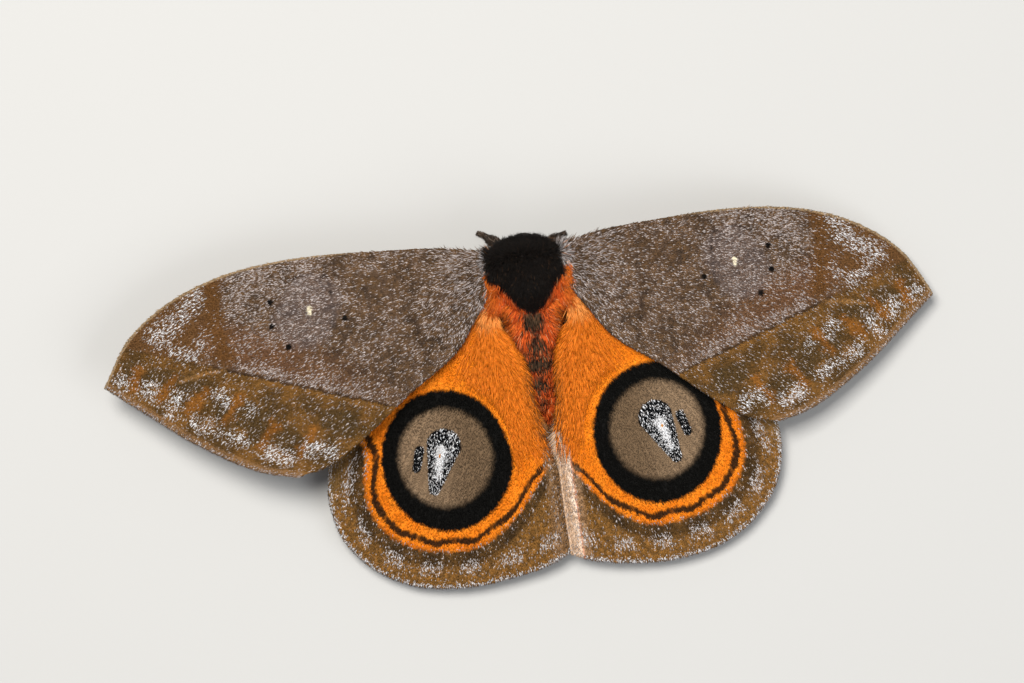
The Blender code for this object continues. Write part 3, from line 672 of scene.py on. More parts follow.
# How far the forewings lie above the hindwings, and how the wings fall away from the body.
STACK = 1.05
DRAPE_ROOT_Z, DRAPE_FALL, DRAPE_REACH, DRAPE_POWER = 7.6, 5.6, 40.0, 1.3
FOREWING = {
    "lead": [(WING_X, -2.4), (11.4, -3.6), (18.0, -4.1), (24.6, -4.4), (31.2, -4.2), (37.7, -3.1),
             (43.8, -0.7), (49.1, 3.3), (52.5, 8.8)],
    "margin": [(52.5, 8.8), (49.0, 11.6), (41.6, 17.4), (33.3, 21.9), (30.0, 22.7)],
    "inner": [(WING_X, 2.2), (7.1, 5.3), (9.7, 9.1), (16.3, 14.2), (22.8, 19.4), (26.3, 21.6),
              (30.0, 22.7)],
    "veins": (0.1, 0.2, 0.33, 0.45, 0.57, 0.68, 0.79, 0.9),
    "root_middle": (WING_X, -0.1),
    "root_thickness": 1.0,
}
HINDWING = {
    "lead": [(WING_X, 2.6), (10.5, 4.6), (18.5, 9.6), (25.0, 15.2), (28.0, 20.5)],
    "margin": [(28.0, 20.5), (28.7, 26.0), (27.5, 31.0), (24.3, 35.0), (20.0, 37.6), (14.0, 38.8),
               (7.6, 38.45), (2.4, 37.2), (0.5, 36.3)],
    "inner": [(WING_X, 4.5), (5.15, 5.8), (3.9, 8.7), (2.5, 12.2), (1.7, 17.0), (0.9, 21.5), (0.5, 28.0),
              (0.5, 36.3)],
    "veins": (0.1, 0.25, 0.38, 0.5, 0.62, 0.75, 0.88),
    "root_middle": (WING_X, 3.55),
    "root_thickness": 0.7,
}
# Reach along the span, sweep towards the tail in degrees, and rise of the tip.
HOLD = {
    "forewing_left": (1.038, -0.5, 5.0),
    "forewing_right": (0.962, 0.5, 1.2),
    "hindwing_left": (1.0, 1.2, 0.0),
    "hindwing_right": (1.0, -1.2, 0.0),
}
# The right hindwing's fold, and how far the left one is tucked under it.
FOLD_RISE = 1.15
FOLD_WIDTH = 2.3
TUCK_X = 0.9


class Wing:
    """One wing's surface: where each share of its length and chord lies, and which way it faces."""

    def __init__(self, name):
        self.name = name
        self.side = side_of(name)
        self.shape = FOREWING if name.startswith("forewing") else HINDWING
        self.reach, sweep, self.rise = HOLD[name]
        c, s = math.cos(math.radians(sweep)), math.sin(math.radians(sweep))
        self.turn = np.array(((c, -s), (s, c)))
        self.edge = curve_at(self.shape["margin"], np.linspace(0, 1, 240))[0]

    def flat(self, u, v):
        """The point of the wing laid flat, before it is swept or stretched."""
        shape = self.shape
        lead = curve_at(shape["lead"], u)[0]
        inner = curve_at(shape["inner"], u)[0]
        margin = curve_at(shape["margin"], v)[0]
        u, v = u[..., None], v[..., None]
        front, rear = np.array(shape["lead"][0]), np.array(shape["inner"][0])
        apex, corner = np.array(shape["lead"][-1]), np.array(shape["inner"][-1])
        across = (1 - v) * lead + v * inner + (1 - u) * ((1 - v) * front + v * rear) + u * margin
        return across - (1 - u) * ((1 - v) * front + v * rear) - u * ((1 - v) * apex + v * corner)

    def point(self, u, v):
        """The point of the middle of the sheet, in millimetres from the body's middle."""
        flat = self.flat(u, v)
        pivot = np.array(self.shape["root_middle"])
        swept = (flat - pivot) @ self.turn.T + pivot
        swept = np.where(u[..., None] > 0, swept, flat)
        x, y = WING_X + (swept[..., 0] - WING_X) * self.reach, swept[..., 1]
        if self.name == "hindwing_left":
            x = x - TUCK_X * eased((y - 20.0) / 4.0) * eased((v - 0.7) / 0.3)
        distance = np.hypot(x - WING_X, y - 3.0)
        z = DRAPE_ROOT_Z - DRAPE_FALL * (distance / DRAPE_REACH) ** DRAPE_POWER
        if self.name.startswith("forewing"):
            camber = 0.7 * np.sin(math.pi * np.minimum(v * 1.2, 1.0)) * np.sin(math.pi * u)
            z = z + STACK + self.rise * u * u + camber
        if self.name == "hindwing_right":
            z = z + FOLD_RISE * eased((FOLD_WIDTH - x) / (FOLD_WIDTH - 0.7)) * eased((y - 19.5) / 4.0)
        return np.stack((self.side * x, y, z), axis=-1)

    def frame(self, u, v):
        """Point, upward normal, and the directions from root to margin and from front to rear."""
        step = 2e-3
        here = self.point(u, v)
        ahead = self.point(np.minimum(u + step, 1), v) - self.point(np.maximum(u - step, 0), v)
        rearward = self.point(u, np.minimum(v + step, 1)) - self.point(u, np.maximum(v - step, 0))
        normal = unit(np.cross(rearward, ahead))
        normal = normal * np.where(normal[..., 2:] < 0, -1, 1)
        return here, normal, unit(ahead), unit(rearward)

    def half(self, u, v):
        """Half the thickness of the sheet, with its root and its raised veins."""
        half_width = 0.022 * (1 - u) + 0.009 * u
        crest = eased(1 - v / half_width)
        for vein in self.shape["veins"]:
            crest = np.maximum(crest, eased(1 - np.abs(v - vein) / half_width))
        flat = self.flat(u, v)
        middle = self.shape["root_middle"]
        near = np.clip(1 - np.hypot(flat[..., 0] - middle[0], flat[..., 1] - middle[1]) / 4.0, 0, 1)
        thickness = MEMBRANE + (self.shape["root_thickness"] - MEMBRANE) * near ** 2
        return thickness / 2 + VEIN_RISE * crest * (1 - 0.6 * u)

    def spread(self, draw, count, weight=None):
        """Shares of the wing at places spread evenly over its area, or by a weight on top of that."""
        cells_across = 120
        middles = (np.arange(cells_across) + 0.5) / cells_across
        u, v = np.meshgrid(middles, middles, indexing="ij")
        step = 0.5 / cells_across
        along = self.point(u + step, v) - self.point(u - step, v)
        across = self.point(u, v + step) - self.point(u, v - step)
        area = np.linalg.norm(np.cross(along, across), axis=-1)
        chance = area * (weight(u, v) if weight else 1)
        cells = draw.choice(area.size, count, p=(chance / chance.sum()).ravel())
        jitter = (draw.uniform(0, 1, (2, count)) - 0.5) / cells_across
        return np.clip(u.ravel()[cells] + jitter[0], 0, 1), np.clip(v.ravel()[cells] + jitter[1], 0, 1)

    def marks(self, draw, u, v, beyond=0.0):
        """What the markings are drawn from: the flat place, the margin's distance, the shares and luck.

        Beyond is how many millimetres further out on the wing the place is taken, for a hair's own middle.
        """
        if np.any(beyond):
            step = 4e-3
            stride = self.flat(np.minimum(u + step, 1), v) - self.flat(np.maximum(u - step, 0), v)
            speed = np.linalg.norm(stride, axis=-1)
            u = np.clip(u + beyond * 2 * step / np.maximum(speed, 1e-6), 0, 1)
        flat = self.flat(u, v).reshape(-1, 2)
        nearest = np.full(len(flat), np.inf)
        for corner in self.edge:
            nearest = np.minimum(nearest, np.hypot(*(flat - corner).T))
        plan = np.stack((flat[:, 0], flat[:, 1], nearest), axis=1)
        share = np.stack((u.ravel(), v.ravel(), np.zeros(u.size)), axis=1)
        return {"plan": plan, "share": share, "luck": dice(draw, len(flat))}


SHEET_ROWS, SHEET_COLUMNS = 72, 132


def wing_sheet(wing, top, under):
    """The sheet: a grid bent to the wing, its veins raised, its two faces joined round the edge."""
    deselect()
    bpy.ops.mesh.primitive_grid_add(x_subdivisions=SHEET_ROWS, y_subdivisions=SHEET_COLUMNS, size=1,
                                    location=(0, 0, 0))
    sheet = bpy.context.object
    sheet.name = wing.name + "_sheet"
    count = len(sheet.data.vertices)
    flat = np.zeros(count * 3, np.float32)
    sheet.data.vertices.foreach_get("co", flat)
    flat = flat.reshape(-1, 3).astype(float)
    u, v = np.clip(flat[:, 0] + 0.5, 0, 1), np.clip(flat[:, 1] + 0.5, 0, 1)
    sheet.data.vertices.foreach_set("co", place(wing.point(u, v)).astype(np.float32).ravel())
    stoutness = 2 * wing.half(u, v)
    group = sheet.vertex_groups.new(name="stoutness")
    for index, share in enumerate(stoutness / stoutness.max()):
        group.add([index], float(share), "REPLACE")
    for label, values in wing.marks(np.random.RandomState(3), u, v).items():
        keep_mark(sheet.data, label, values)
    if np.mean([p.normal.z for p in sheet.data.polygons]) < 0:
        bpy.ops.object.mode_set(mode="EDIT")
        bpy.ops.mesh.select_all(action="SELECT")
        bpy.ops.mesh.flip_normals()
        bpy.ops.object.mode_set(mode="OBJECT")
    sheet.data.materials.append(top)
    sheet.data.materials.append(under)
    wall = sheet.modifiers.new("two faces", "SOLIDIFY")
    wall.thickness = stoutness.max() * MM
    wall.offset = 0
    wall.vertex_group = group.name
    wall.material_offset = 1
    wall.material_offset_rim = 0
    bpy.ops.object.modifier_apply(modifier=wall.name)
    sheet.data.shade_smooth()
    return sheet


def vector_calc(operation, *values):
    """One step of arithmetic on vectors."""
    step = beside(values, "ShaderNodeVectorMath")
    step.operation = operation
    for value, socket in zip(values, step.inputs):
        link(value, socket)
    return step.outputs["Value" if operation in ("DOT_PRODUCT", "LENGTH", "DISTANCE") else "Vector"]


def times(*values):
    """The product of several values."""
    product = values[0]
    for value in values[1:]:
        product = calc("MULTIPLY", product, value)
    return product


def plus(*values):
    """The sum of several values."""
    total = values[0]
    for value in values[1:]:
        total = calc("ADD", total, value)
    return total


def most(masks):
    """The strongest of several masks, taken in one by one as they are made."""
    top = 0.0
    for mask in masks:
        top = calc("MAXIMUM", top, mask)
    return top


def unless(mask, share=1.0):
    """What is left of 1 once a share of the mask is taken off."""
    return calc("SUBTRACT", 1.0, calc("MULTIPLY", mask, share))


def band(value, start, end, soft):
    """1 between start and end, fading over soft at both."""
    return times(rise(value, start - soft / 2, start + soft / 2),
                 rise(value, end + soft / 2, end - soft / 2))


def shake(at, scale, amount):
    """The place moved about a little, so that what is drawn from it has an uneven edge."""
    cloud = beside((at,), "ShaderNodeTexNoise")
    link(at, cloud.inputs["Vector"])
    cloud.inputs["Scale"].default_value = scale
    cloud.inputs["Detail"].default_value = 3.0
    moved = vector_calc("SUBTRACT", cloud.outputs["Color"], (0.5, 0.5, 0.5))
    return vector_calc("ADD", at, vector_calc("MULTIPLY", moved, (amount, amount, 0.0)))


def stroke(at, start, end, wide, narrow, soft):
    """1 within a brush stroke, wide at its start and narrow at its end, and 0 beyond a soft edge."""
    from_start = vector_calc("SUBTRACT", at, (*start, 0.0))
    if start == end:
        away = vector_calc("LENGTH", from_start)
    else:
        way = np.array((end[0] - start[0], end[1] - start[1], 0.0))
        share = vector_calc("DOT_PRODUCT", from_start, tuple(way / way.dot(way)))
        share = calc("MINIMUM", calc("MAXIMUM", share, 0.0), 1.0)
        nearest = beside((at,), "ShaderNodeVectorMath")
        nearest.operation = "SCALE"
        nearest.inputs[0].default_value = tuple(way)
        link(share, nearest.inputs["Scale"])
        away = vector_calc("DISTANCE", from_start, nearest.outputs["Vector"])
        if wide != narrow:
            away = calc("ADD", away, calc("MULTIPLY", share, wide - narrow))
    return rise(away, wide + soft / 2, wide - soft / 2)


def trail(at, knots, half, soft):
    """A line of even width through several points."""
    return most((stroke(at, a, b, half, half, soft) for a, b in zip(knots, knots[1:])))


# The markings of the forewing.
# Grey frosting on brown inside a thin dark line, golden brown outside it, and white clusters between olive
# shadows and orange rays along the margin. A mark is given by its start, its end and its half widths.
LINE_TORNUS, LINE_APEX = (19.3, 14.9), (38.1, 8.3)
CLUSTERS = (((50.3, 8.3), (49.9, 8.9), 1.0), ((47.6, 9.7), (47.0, 10.3), 1.05),
            ((43.7, 11.0), (44.8, 13.2), 0.85), ((41.9, 14.6), (40.7, 15.6), 0.95),
            ((38.9, 11.6), (38.0, 12.2), 0.9), ((38.9, 16.2), (36.2, 17.5), 0.75),
            ((33.4, 19.3), (31.6, 20.2), 1.15), ((28.4, 19.2), (26.3, 20.0), 1.2),
            ((35.6, 13.6), (35.2, 14.0), 0.5))
OLIVE_SHADOWS = (((46.0, 8.2), (44.3, 9.0), 1.25), ((42.2, 9.5), (41.0, 10.3), 1.2),
                 ((35.8, 14.3), (34.4, 15.4), 1.7), ((31.6, 17.6), (30.0, 18.6), 1.5),
                 ((49.6, 6.7), (49.0, 7.3), 0.8), ((25.4, 16.0), (23.9, 17.0), 1.5),
                 ((38.6, 13.8), (38.0, 14.3), 1.0))
ORANGE_RAYS = (((44.1, 9.0), (45.8, 11.0)), ((40.4, 11.0), (42.8, 13.2)), ((36.2, 12.3), (38.4, 14.8)),
               ((32.4, 15.9), (34.4, 18.5)), ((27.7, 17.0), (29.6, 19.6)), ((48.2, 7.4), (49.2, 9.6)))
WHITE_PATCHES = (((40.3, -1.9), (41.2, 0.4), 1.3, 0.75), ((41.4, 0.4), (45.6, 3.4), 1.45, 0.8),
                 ((43.9, 5.3), (41.6, 6.2), 0.75, 0.95), ((41.2, 6.0), (39.3, 4.2), 0.8, 0.6),
                 ((46.2, 4.0), (45.4, 4.3), 0.5, 0.95))
COSTAL_BAND = ((38.3, -3.6), (38.6, 0.0), (38.3, 3.4), (37.6, 6.6))
CELL_ARCS = (((29.2, -1.6), (27.8, -2.1), (26.1, -2.2)), ((24.5, -2.3), (23.9, -0.2), (24.0, 2.2)))
ROOT_LINE = ((18.5, -1.0), (16.8, 0.6), (14.5, 2.8), (14.0, 6.0), (13.2, 10.1))
PALE_LINE = ((37.7, 8.4), (40.6, 8.7), (43.2, 9.3))
CREAM_SPOT = ((26.8, 2.0), (26.8, 2.65), 0.32, 0.22, 0.2)
GREY_CELL = ((26.3, 1.2), (27.6, 3.4), 3.6, 3.6, 1.2)
DARK_ROOT = ((13.5, -1.0), (19.0, 1.0), 2.2, 2.2, 2.0)
DOTS = ((31.4, 0.7), (31.5, 3.7), (29.75, 6.5), (22.6, 3.7))
FAINT_DOTS = ((28.15, -2.05), (24.7, -1.8), (24.0, 0.3))

MARKED = (("Ground", COLOUR), ("Frost", FLOAT), ("White", FLOAT))
forewing_markings, given, result = new_group(
    "forewing_markings", (("Plan", VECTOR), ("Share", VECTOR)), MARKED)
x, y, edge = split(given["Plan"])
u, v, _ = split(given["Share"])
at = vector_calc("MULTIPLY", given["Plan"], (1.0, 1.0, 0.0))
shaken = shake(at, 0.8, 2.4)
trembling = shake(at, 1.1, 0.9)
cloud = rise(noise(at, 0.32, 3.0), 0.36, 0.64)
small_cloud = rise(noise(at, 1.1, 3.0), 0.34, 0.66)
way = np.array(LINE_APEX) - np.array(LINE_TORNUS)
across_line = (-way[1] / np.linalg.norm(way), way[0] / np.linalg.norm(way), 0.0)
off = vector_calc("DOT_PRODUCT", vector_calc("SUBTRACT", trembling, (*LINE_TORNUS, 0.0)), across_line)
outer = rise(off, -0.15, 0.2)
basal = tint(cloud, linear(66, 52, 41), linear(90, 70, 54))
basal = tint(times(small_cloud, 0.5), basal, linear(112, 82, 50))
reddish = times(band(off, -5.5, -0.5, 3.0), rise(u, 0.45, 0.7), 0.6)
basal = tint(reddish, basal, linear(112, 76, 50))
ground = tint(outer, basal, tint(cloud, linear(82, 59, 29), linear(114, 79, 36)))
tip_ground = rise(x, 38.5, 41.5)
ground = tint(times(tip_ground, unless(outer), 0.85), ground, linear(98, 67, 35))
olive = most((stroke(shaken, a, b, half, half, 1.0) for a, b, half in OLIVE_SHADOWS))
ground = tint(times(olive, 0.8), ground, linear(72, 55, 30))
rays = most((stroke(shaken, a, b, 0.55, 0.55, 1.0) for a, b in ORANGE_RAYS))
ground = tint(times(rays, 0.42), ground, linear(160, 96, 28))
costal = trail(shaken, COSTAL_BAND, 1.3, 2.2)
ground = tint(times(costal, 0.8), ground, linear(98, 64, 28))
dark_line = times(band(off, -0.16, 0.14, 0.2), band(x, 18.0, 38.6, 2.0), 0.65)
beside_line = times(band(off, 0.25, 0.8, 0.4), rise(x, 39.0, 36.0), 0.22)
ground = tint(beside_line, ground, linear(150, 104, 48))
pale_line = trail(trembling, PALE_LINE, 0.2, 0.5)
ground = tint(times(pale_line, 0.5), ground, linear(176, 128, 74))
root_line = trail(trembling, ROOT_LINE, 0.3, 0.7)
cell_arcs = most((trail(at, knots, 0.12, 0.25) for knots in CELL_ARCS))
shadow_lines = most((dark_line, times(root_line, 0.32), times(cell_arcs, 0.6)))
ground = tint(shadow_lines, ground, linear(44, 31, 22))
cell = stroke(at, *GREY_CELL)
ground = tint(times(cell, 0.4), ground, linear(104, 92, 90))
dots = most((stroke(at, dot, dot, 0.36, 0.36, 0.16) for dot in DOTS))
faint_dots = most((stroke(at, dot, dot, 0.25, 0.25, 0.3) for dot in FAINT_DOTS))
dots = most((dots, times(faint_dots, 0.6)))
ground = tint(dots, ground, linear(14, 10, 8))
ground = tint(stroke(at, *CREAM_SPOT), ground, linear(228, 216, 186))
rim = rise(edge, 0.75, 0.4)
ground = tint(times(rim, 0.6), ground, linear(138, 104, 70))
costa = rise(v, 0.012, 0.006)
ground = tint(times(costa, rise(u, 0.25, 0.4)), ground, linear(146, 122, 92))
# Frost is the share of pale scales, thickest towards the leading edge and the root, and inside the line.
costal_frost = times(rise(v, 0.4, 0.05), band(x, 25.0, 38.0, 8.0), 0.24)
root_frost = times(rise(u, 0.34, 0.02), 0.24)
cloudy_frost = plus(0.04, times(cloud, 0.12), times(small_cloud, 0.11))
frost = plus(cloudy_frost, costal_frost, root_frost, times(cell, 0.03))
frost = times(frost, unless(stroke(shaken, *DARK_ROOT), 0.45))
frost = plus(frost, times(band(off, -1.6, -0.2, 0.8), band(x, 20.0, 36.0, 3.0), 0.22))
frost = times(frost, unless(outer), unless(tip_ground, 0.85))
frost = plus(frost, times(outer, plus(0.05, times(small_cloud, 0.06))))
clusters = most((stroke(shaken, a, b, half, half, 2.5) for a, b, half in CLUSTERS))
frost = most((frost, times(clusters, 0.4)))
patches = most((times(stroke(shaken, a, b, half, half, 2.0), strong)
                for a, b, half, strong in WHITE_PATCHES))
frost = most((frost, times(patches, 0.46)))
frost = times(frost, unless(costal, 0.85), unless(shadow_lines), unless(dots))
frost = times(frost, unless(rim, 0.45), unless(costa, 0.8), unless(rays, 0.5))
frost = most((frost, times(rise(edge, 0.35, 0.1), 0.35)))
link(ground, result["Ground"])
link(frost, result["Frost"])
link(most((clusters, patches)), result["White"])

# The markings of the hindwing.
# Orange scales with a great ringed eyespot, then a thin dark line, an orange line and a frosted brown
# margin. The right wing has its inner margin folded up, which bares a pale strip.
RING, RING_HALF = (13.45, 22.7), (8.1, 9.0)
IRIS, IRIS_HALF = (13.45, 22.35), (5.95, 6.3)
PUPIL = ((13.45, 20.8), (15.4, 26.1), 2.2, 0.75)
CORE = ((13.9, 21.5), (14.85, 24.9), 0.8, 0.3)
SLIT = ((16.55, 20.95), (17.25, 23.15), 0.6, 0.56)
AMBER_DOT = ((14.1, 21.9), (14.15, 22.1), 0.12, 0.12, 0.1)
FIRST_VEIN, VEIN_PITCH = 0.065, 0.125
BEND_START, BEND_STEEPNESS, BEND_POWER, BEND_SIZE = 12.0, 0.095, 1.7, 6.5

hindwing_markings, given, result = new_group(
    "hindwing_markings", (("Plan", VECTOR), ("Share", VECTOR), ("Fold", FLOAT)), MARKED)


def oval(at, middle, half):
    """How far out a place is in an oval, which is 1 at its edge."""
    away = vector_calc("SUBTRACT", at, (*middle, 0.0))
    return vector_calc("LENGTH", vector_calc("MULTIPLY", away, (1 / half[0], 1 / half[1], 0.0)))


x, y, edge = split(given["Plan"])
u, v, _ = split(given["Share"])
at = vector_calc("MULTIPLY", given["Plan"], (1.0, 1.0, 0.0))
trembling = shake(at, 1.6, 0.7)
cloud = rise(noise(at, 0.4, 3.0), 0.36, 0.64)
small_cloud = rise(noise(at, 1.6, 3.0), 0.34, 0.66)
streaks = noise(vector_calc("MULTIPLY", given["Share"], (5.0, 90.0, 0.0)), 1.0, 2.0)
turn = times(calc("SUBTRACT", v, FIRST_VEIN), 2 * math.pi / VEIN_PITCH)
between = plus(0.5, times(calc("COSINE", turn), 0.5))
edge = plus(edge, plus(times(small_cloud, 0.3), -0.15))
orange = tint(cloud, linear(219, 116, 16), linear(231, 130, 26))
ground = tint(times(rise(streaks, 0.5, 0.7), 0.25), orange, linear(206, 100, 14))
# Beside the body the lines bend up towards the tail.
bend = calc("MAXIMUM", times(calc("SUBTRACT", BEND_START, x), BEND_STEEPNESS), 0.0)
inward = calc("SUBTRACT", edge, times(calc("POWER", bend, BEND_POWER), BEND_SIZE))
outside = rise(inward, 4.5, 4.2)
brown = tint(small_cloud, linear(100, 71, 35), linear(136, 94, 42))
ground = tint(outside, ground, brown)
dark_band = times(band(inward, 2.5, 4.6, 1.0), plus(0.65, times(between, 0.3)))
ground = tint(dark_band, ground, linear(58, 42, 22))
line_at = plus(inward, times(between, 0.3))
thin_dark = times(band(line_at, 5.45, 6.3, 0.35), rise(between, -0.12, 0.05), rise(v, 0.985, 0.93))
ground = tint(times(thin_dark, 0.96), ground, linear(30, 20, 9))
shoulder = times(rise(v, 0.2, 0.1), rise(u, 0.72, 0.85))
ground = tint(shoulder, ground, linear(116, 88, 50))
frost = times(band(inward, 4.2, 4.9, 0.5), small_cloud, 0.22)
patches = times(band(edge, 1.3, 3.2, 0.8), rise(between, 0.15, 0.6), plus(0.2, times(small_cloud, 0.28)))
very_edge = rise(edge, 0.45, 0.1)
frost = most((frost, patches, times(outside, 0.06), times(very_edge, 0.5)))
ring = rise(oval(trembling, RING, RING_HALF), 1.03, 0.975)
ground = tint(ring, ground, linear(5, 4, 2))
frost = times(frost, unless(ring))
iris = rise(oval(trembling, IRIS, IRIS_HALF), 1.07, 0.9)
iris_colour = tint(rise(x, 16.5, 10.0), linear(138, 114, 88), linear(108, 87, 64))
iris_colour = tint(times(rise(streaks, 0.4, 0.66), 0.5), iris_colour, linear(96, 76, 56))
ground = tint(iris, ground, iris_colour)
slit = stroke(at, *SLIT, 0.2)
pupil = most((stroke(at, *PUPIL, 0.22), slit))
ground = tint(pupil, ground, linear(5, 6, 8))
core = stroke(trembling, *CORE, 1.1)
frost = most((frost, times(pupil, unless(slit, 0.5), 0.22), times(core, 0.97)))
amber = stroke(at, *AMBER_DOT)
ground = tint(amber, ground, linear(206, 140, 60))
frost = times(frost, unless(amber))
inner_strip = times(rise(v, 0.93, 0.965), rise(y, 17.5, 20.5))
strip_brown = tint(small_cloud, linear(108, 78, 48), linear(146, 112, 78))
ground = tint(times(inner_strip, 0.9), ground, strip_brown)
folded = times(rise(y, 19.0, 22.5), given["Fold"])
beside_fold = times(rise(x, 3.5, 2.6), rise(y, 24.0, 28.0), folded, 0.75)
ground = tint(beside_fold, ground, tint(small_cloud, linear(124, 92, 62), linear(178, 142, 108)))
fold = times(rise(x, 2.3, 2.1), folded)
fold_colour = tint(rise(x, 0.8, 1.9), linear(204, 174, 146), linear(246, 224, 202))
ground = tint(fold, ground, tint(small_cloud, linear(188, 152, 118), fold_colour))
seam = times(band(x, 2.05, 2.2, 0.2), folded, 0.8)
ground = tint(seam, ground, linear(176, 92, 46))
frost = most((times(frost, unless(fold)), times(fold, 0.15), times(inner_strip, 0.12)))
link(ground, result["Ground"])
link(frost, result["Frost"])
link(most((patches, pupil, core, times(very_edge, 0.6))), result["White"])


def shaded(colour, luck, least, spread):
    """A colour made a little darker or paler by luck."""
    return vector_calc("MULTIPLY", colour, plus(least, times(luck, spread)))


FLECKS = (linear(128, 114, 106), linear(186, 176, 172))
WHITE_FLECKS = (linear(178, 172, 168), linear(238, 240, 242))
SHEET_SHADE = 0.85
SHEET_CELLS = 6.5


def wing_material(name, group, scaled, spread=0.4, fold=None):
    """The finish of a wing's sheet, or of the scales on it, from its markings."""
    material, tree, shader = new_material(name, 0.6 if scaled else 0.75, 0.1)
    plan = read(tree, "plan")
    values = {"Plan": plan, "Share": read(tree, "share")}
    if fold is not None:
        values["Fold"] = fold
    marked = use_group(tree, group, **values)
    luck, second_luck, third_luck = split(read(tree, "luck"))
    if scaled:
        ground = shaded(marked["Ground"], luck, 1 - spread / 2, spread)
        pale = calc("LESS_THAN", second_luck, marked["Frost"])
    else:
        cells = tree.nodes.new("ShaderNodeTexVoronoi")
        cells.inputs["Scale"].default_value = SHEET_CELLS
        link(plan, cells.inputs["Vector"])
        speck, third_luck, _ = split(cells.outputs["Color"])
        ground = vector_calc("MULTIPLY", marked["Ground"], (SHEET_SHADE,) * 3)
        pale = times(calc("LESS_THAN", speck, marked["Frost"]), 0.8)
        bump(noise(seat_on(tree), 6000.0), 0.04, shader)
    fleck = tint(marked["White"], tint(third_luck, *FLECKS), tint(third_luck, *WHITE_FLECKS))
    link(tint(pale, ground, fleck), shader.inputs["Base Color"])
    return material


fore_sheet = wing_material("forewing_sheet", forewing_markings, False)
fore_scales = wing_material("forewing_scales", forewing_markings, True)
hind_sheet = {}
hind_scales = {}
for side, fold in (("left", 0.0), ("right", 1.0)):
    hind_sheet[side] = wing_material("hindwing_sheet_" + side, hindwing_markings, False, fold=fold)
    hind_scales[side] = wing_material("hindwing_scales_" + side, hindwing_markings, True, 0.16, fold)


def under_material(name, scaled):
    """The under side of the wings: plain ochre brown, paler towards the root, with a faint dark line."""
    material, tree, shader = new_material(name, 0.65)
    plan = read(tree, "plan")
    edge = split(plan)[2]
    u = split(read(tree, "share"))[0]
    luck, second_luck, _ = split(read(tree, "luck"))
    cloud = noise(plan, 0.4)
    ground = tint(cloud, linear(122, 84, 50), linear(150, 106, 64))
    ground = tint(rise(u, 0.5, 0.0), ground, linear(172, 108, 58))
    line = band(plus(edge, times(cloud, 1.2)), 9.0, 9.7, 0.5)
    ground = tint(times(line, 0.7), ground, linear(70, 44, 28))
    ground = tint(times(rise(edge, 3.4, 2.6), 0.5), ground, linear(104, 78, 52))
    if scaled:
        ground = shaded(ground, luck, 0.75, 0.5)
        ground = tint(calc("LESS_THAN", second_luck, 0.14), ground, FLECKS[1])
    else:
        bump(noise(seat_on(tree), 6000.0), 0.04, shader)
    link(ground, shader.inputs["Base Color"])
    return material


under_sheet = under_material("wing_under_sheet", False)
under_scales = under_material("wing_under_scales", True)
# Scales on a wing, and their length and width.
UPPER_SCALES = {"forewing": (46000, 0.6, 0.1), "hindwing": (36500, 0.6, 0.12)}
UNDER_SCALES = (7600, 0.9, 0.27)
FRINGE_HAIRS, FRINGE_WIDTH, FRINGE_LENGTH = 2200, 0.11, 0.5
INNER_EDGE_HAIRS = 1600
LEADING_EDGE_HAIRS = 1800


def fringe(wing, draw, name, u, v, heading, length, material):
    """Short hair that stands out from all the thickness of an edge of the wing."""
    here, normal, _, _ = wing.frame(u, v)
    count = len(u)
    along = lie(normal, heading, 0.16, draw)
    roots = here + normal * (wing.half(u, v)[:, None] - 0.02) * draw.uniform(-1, 1, (count, 1))
    tips = roots + along * length * draw.uniform(0.6, 1.25, (count, 1))
    tips = tips + normal * draw.uniform(-0.04, 0.1, (count, 1))
    unwrap = np.stack((u - UNWRAP_PATCH, v), axis=1)
    marks = wing.marks(draw, u, v)
    return spikes(name, roots, tips, normal, FRINGE_WIDTH, unwrap, marks, material, rings=0)


def near_pupil(plan):
    """1 round the middle of the eyespot, where the scales are smallest and most crowded."""
    return eased(3.9 - np.hypot((plan[..., 0] - 14.8) * 1.2, (plan[..., 1] - 23.1) * 0.9))


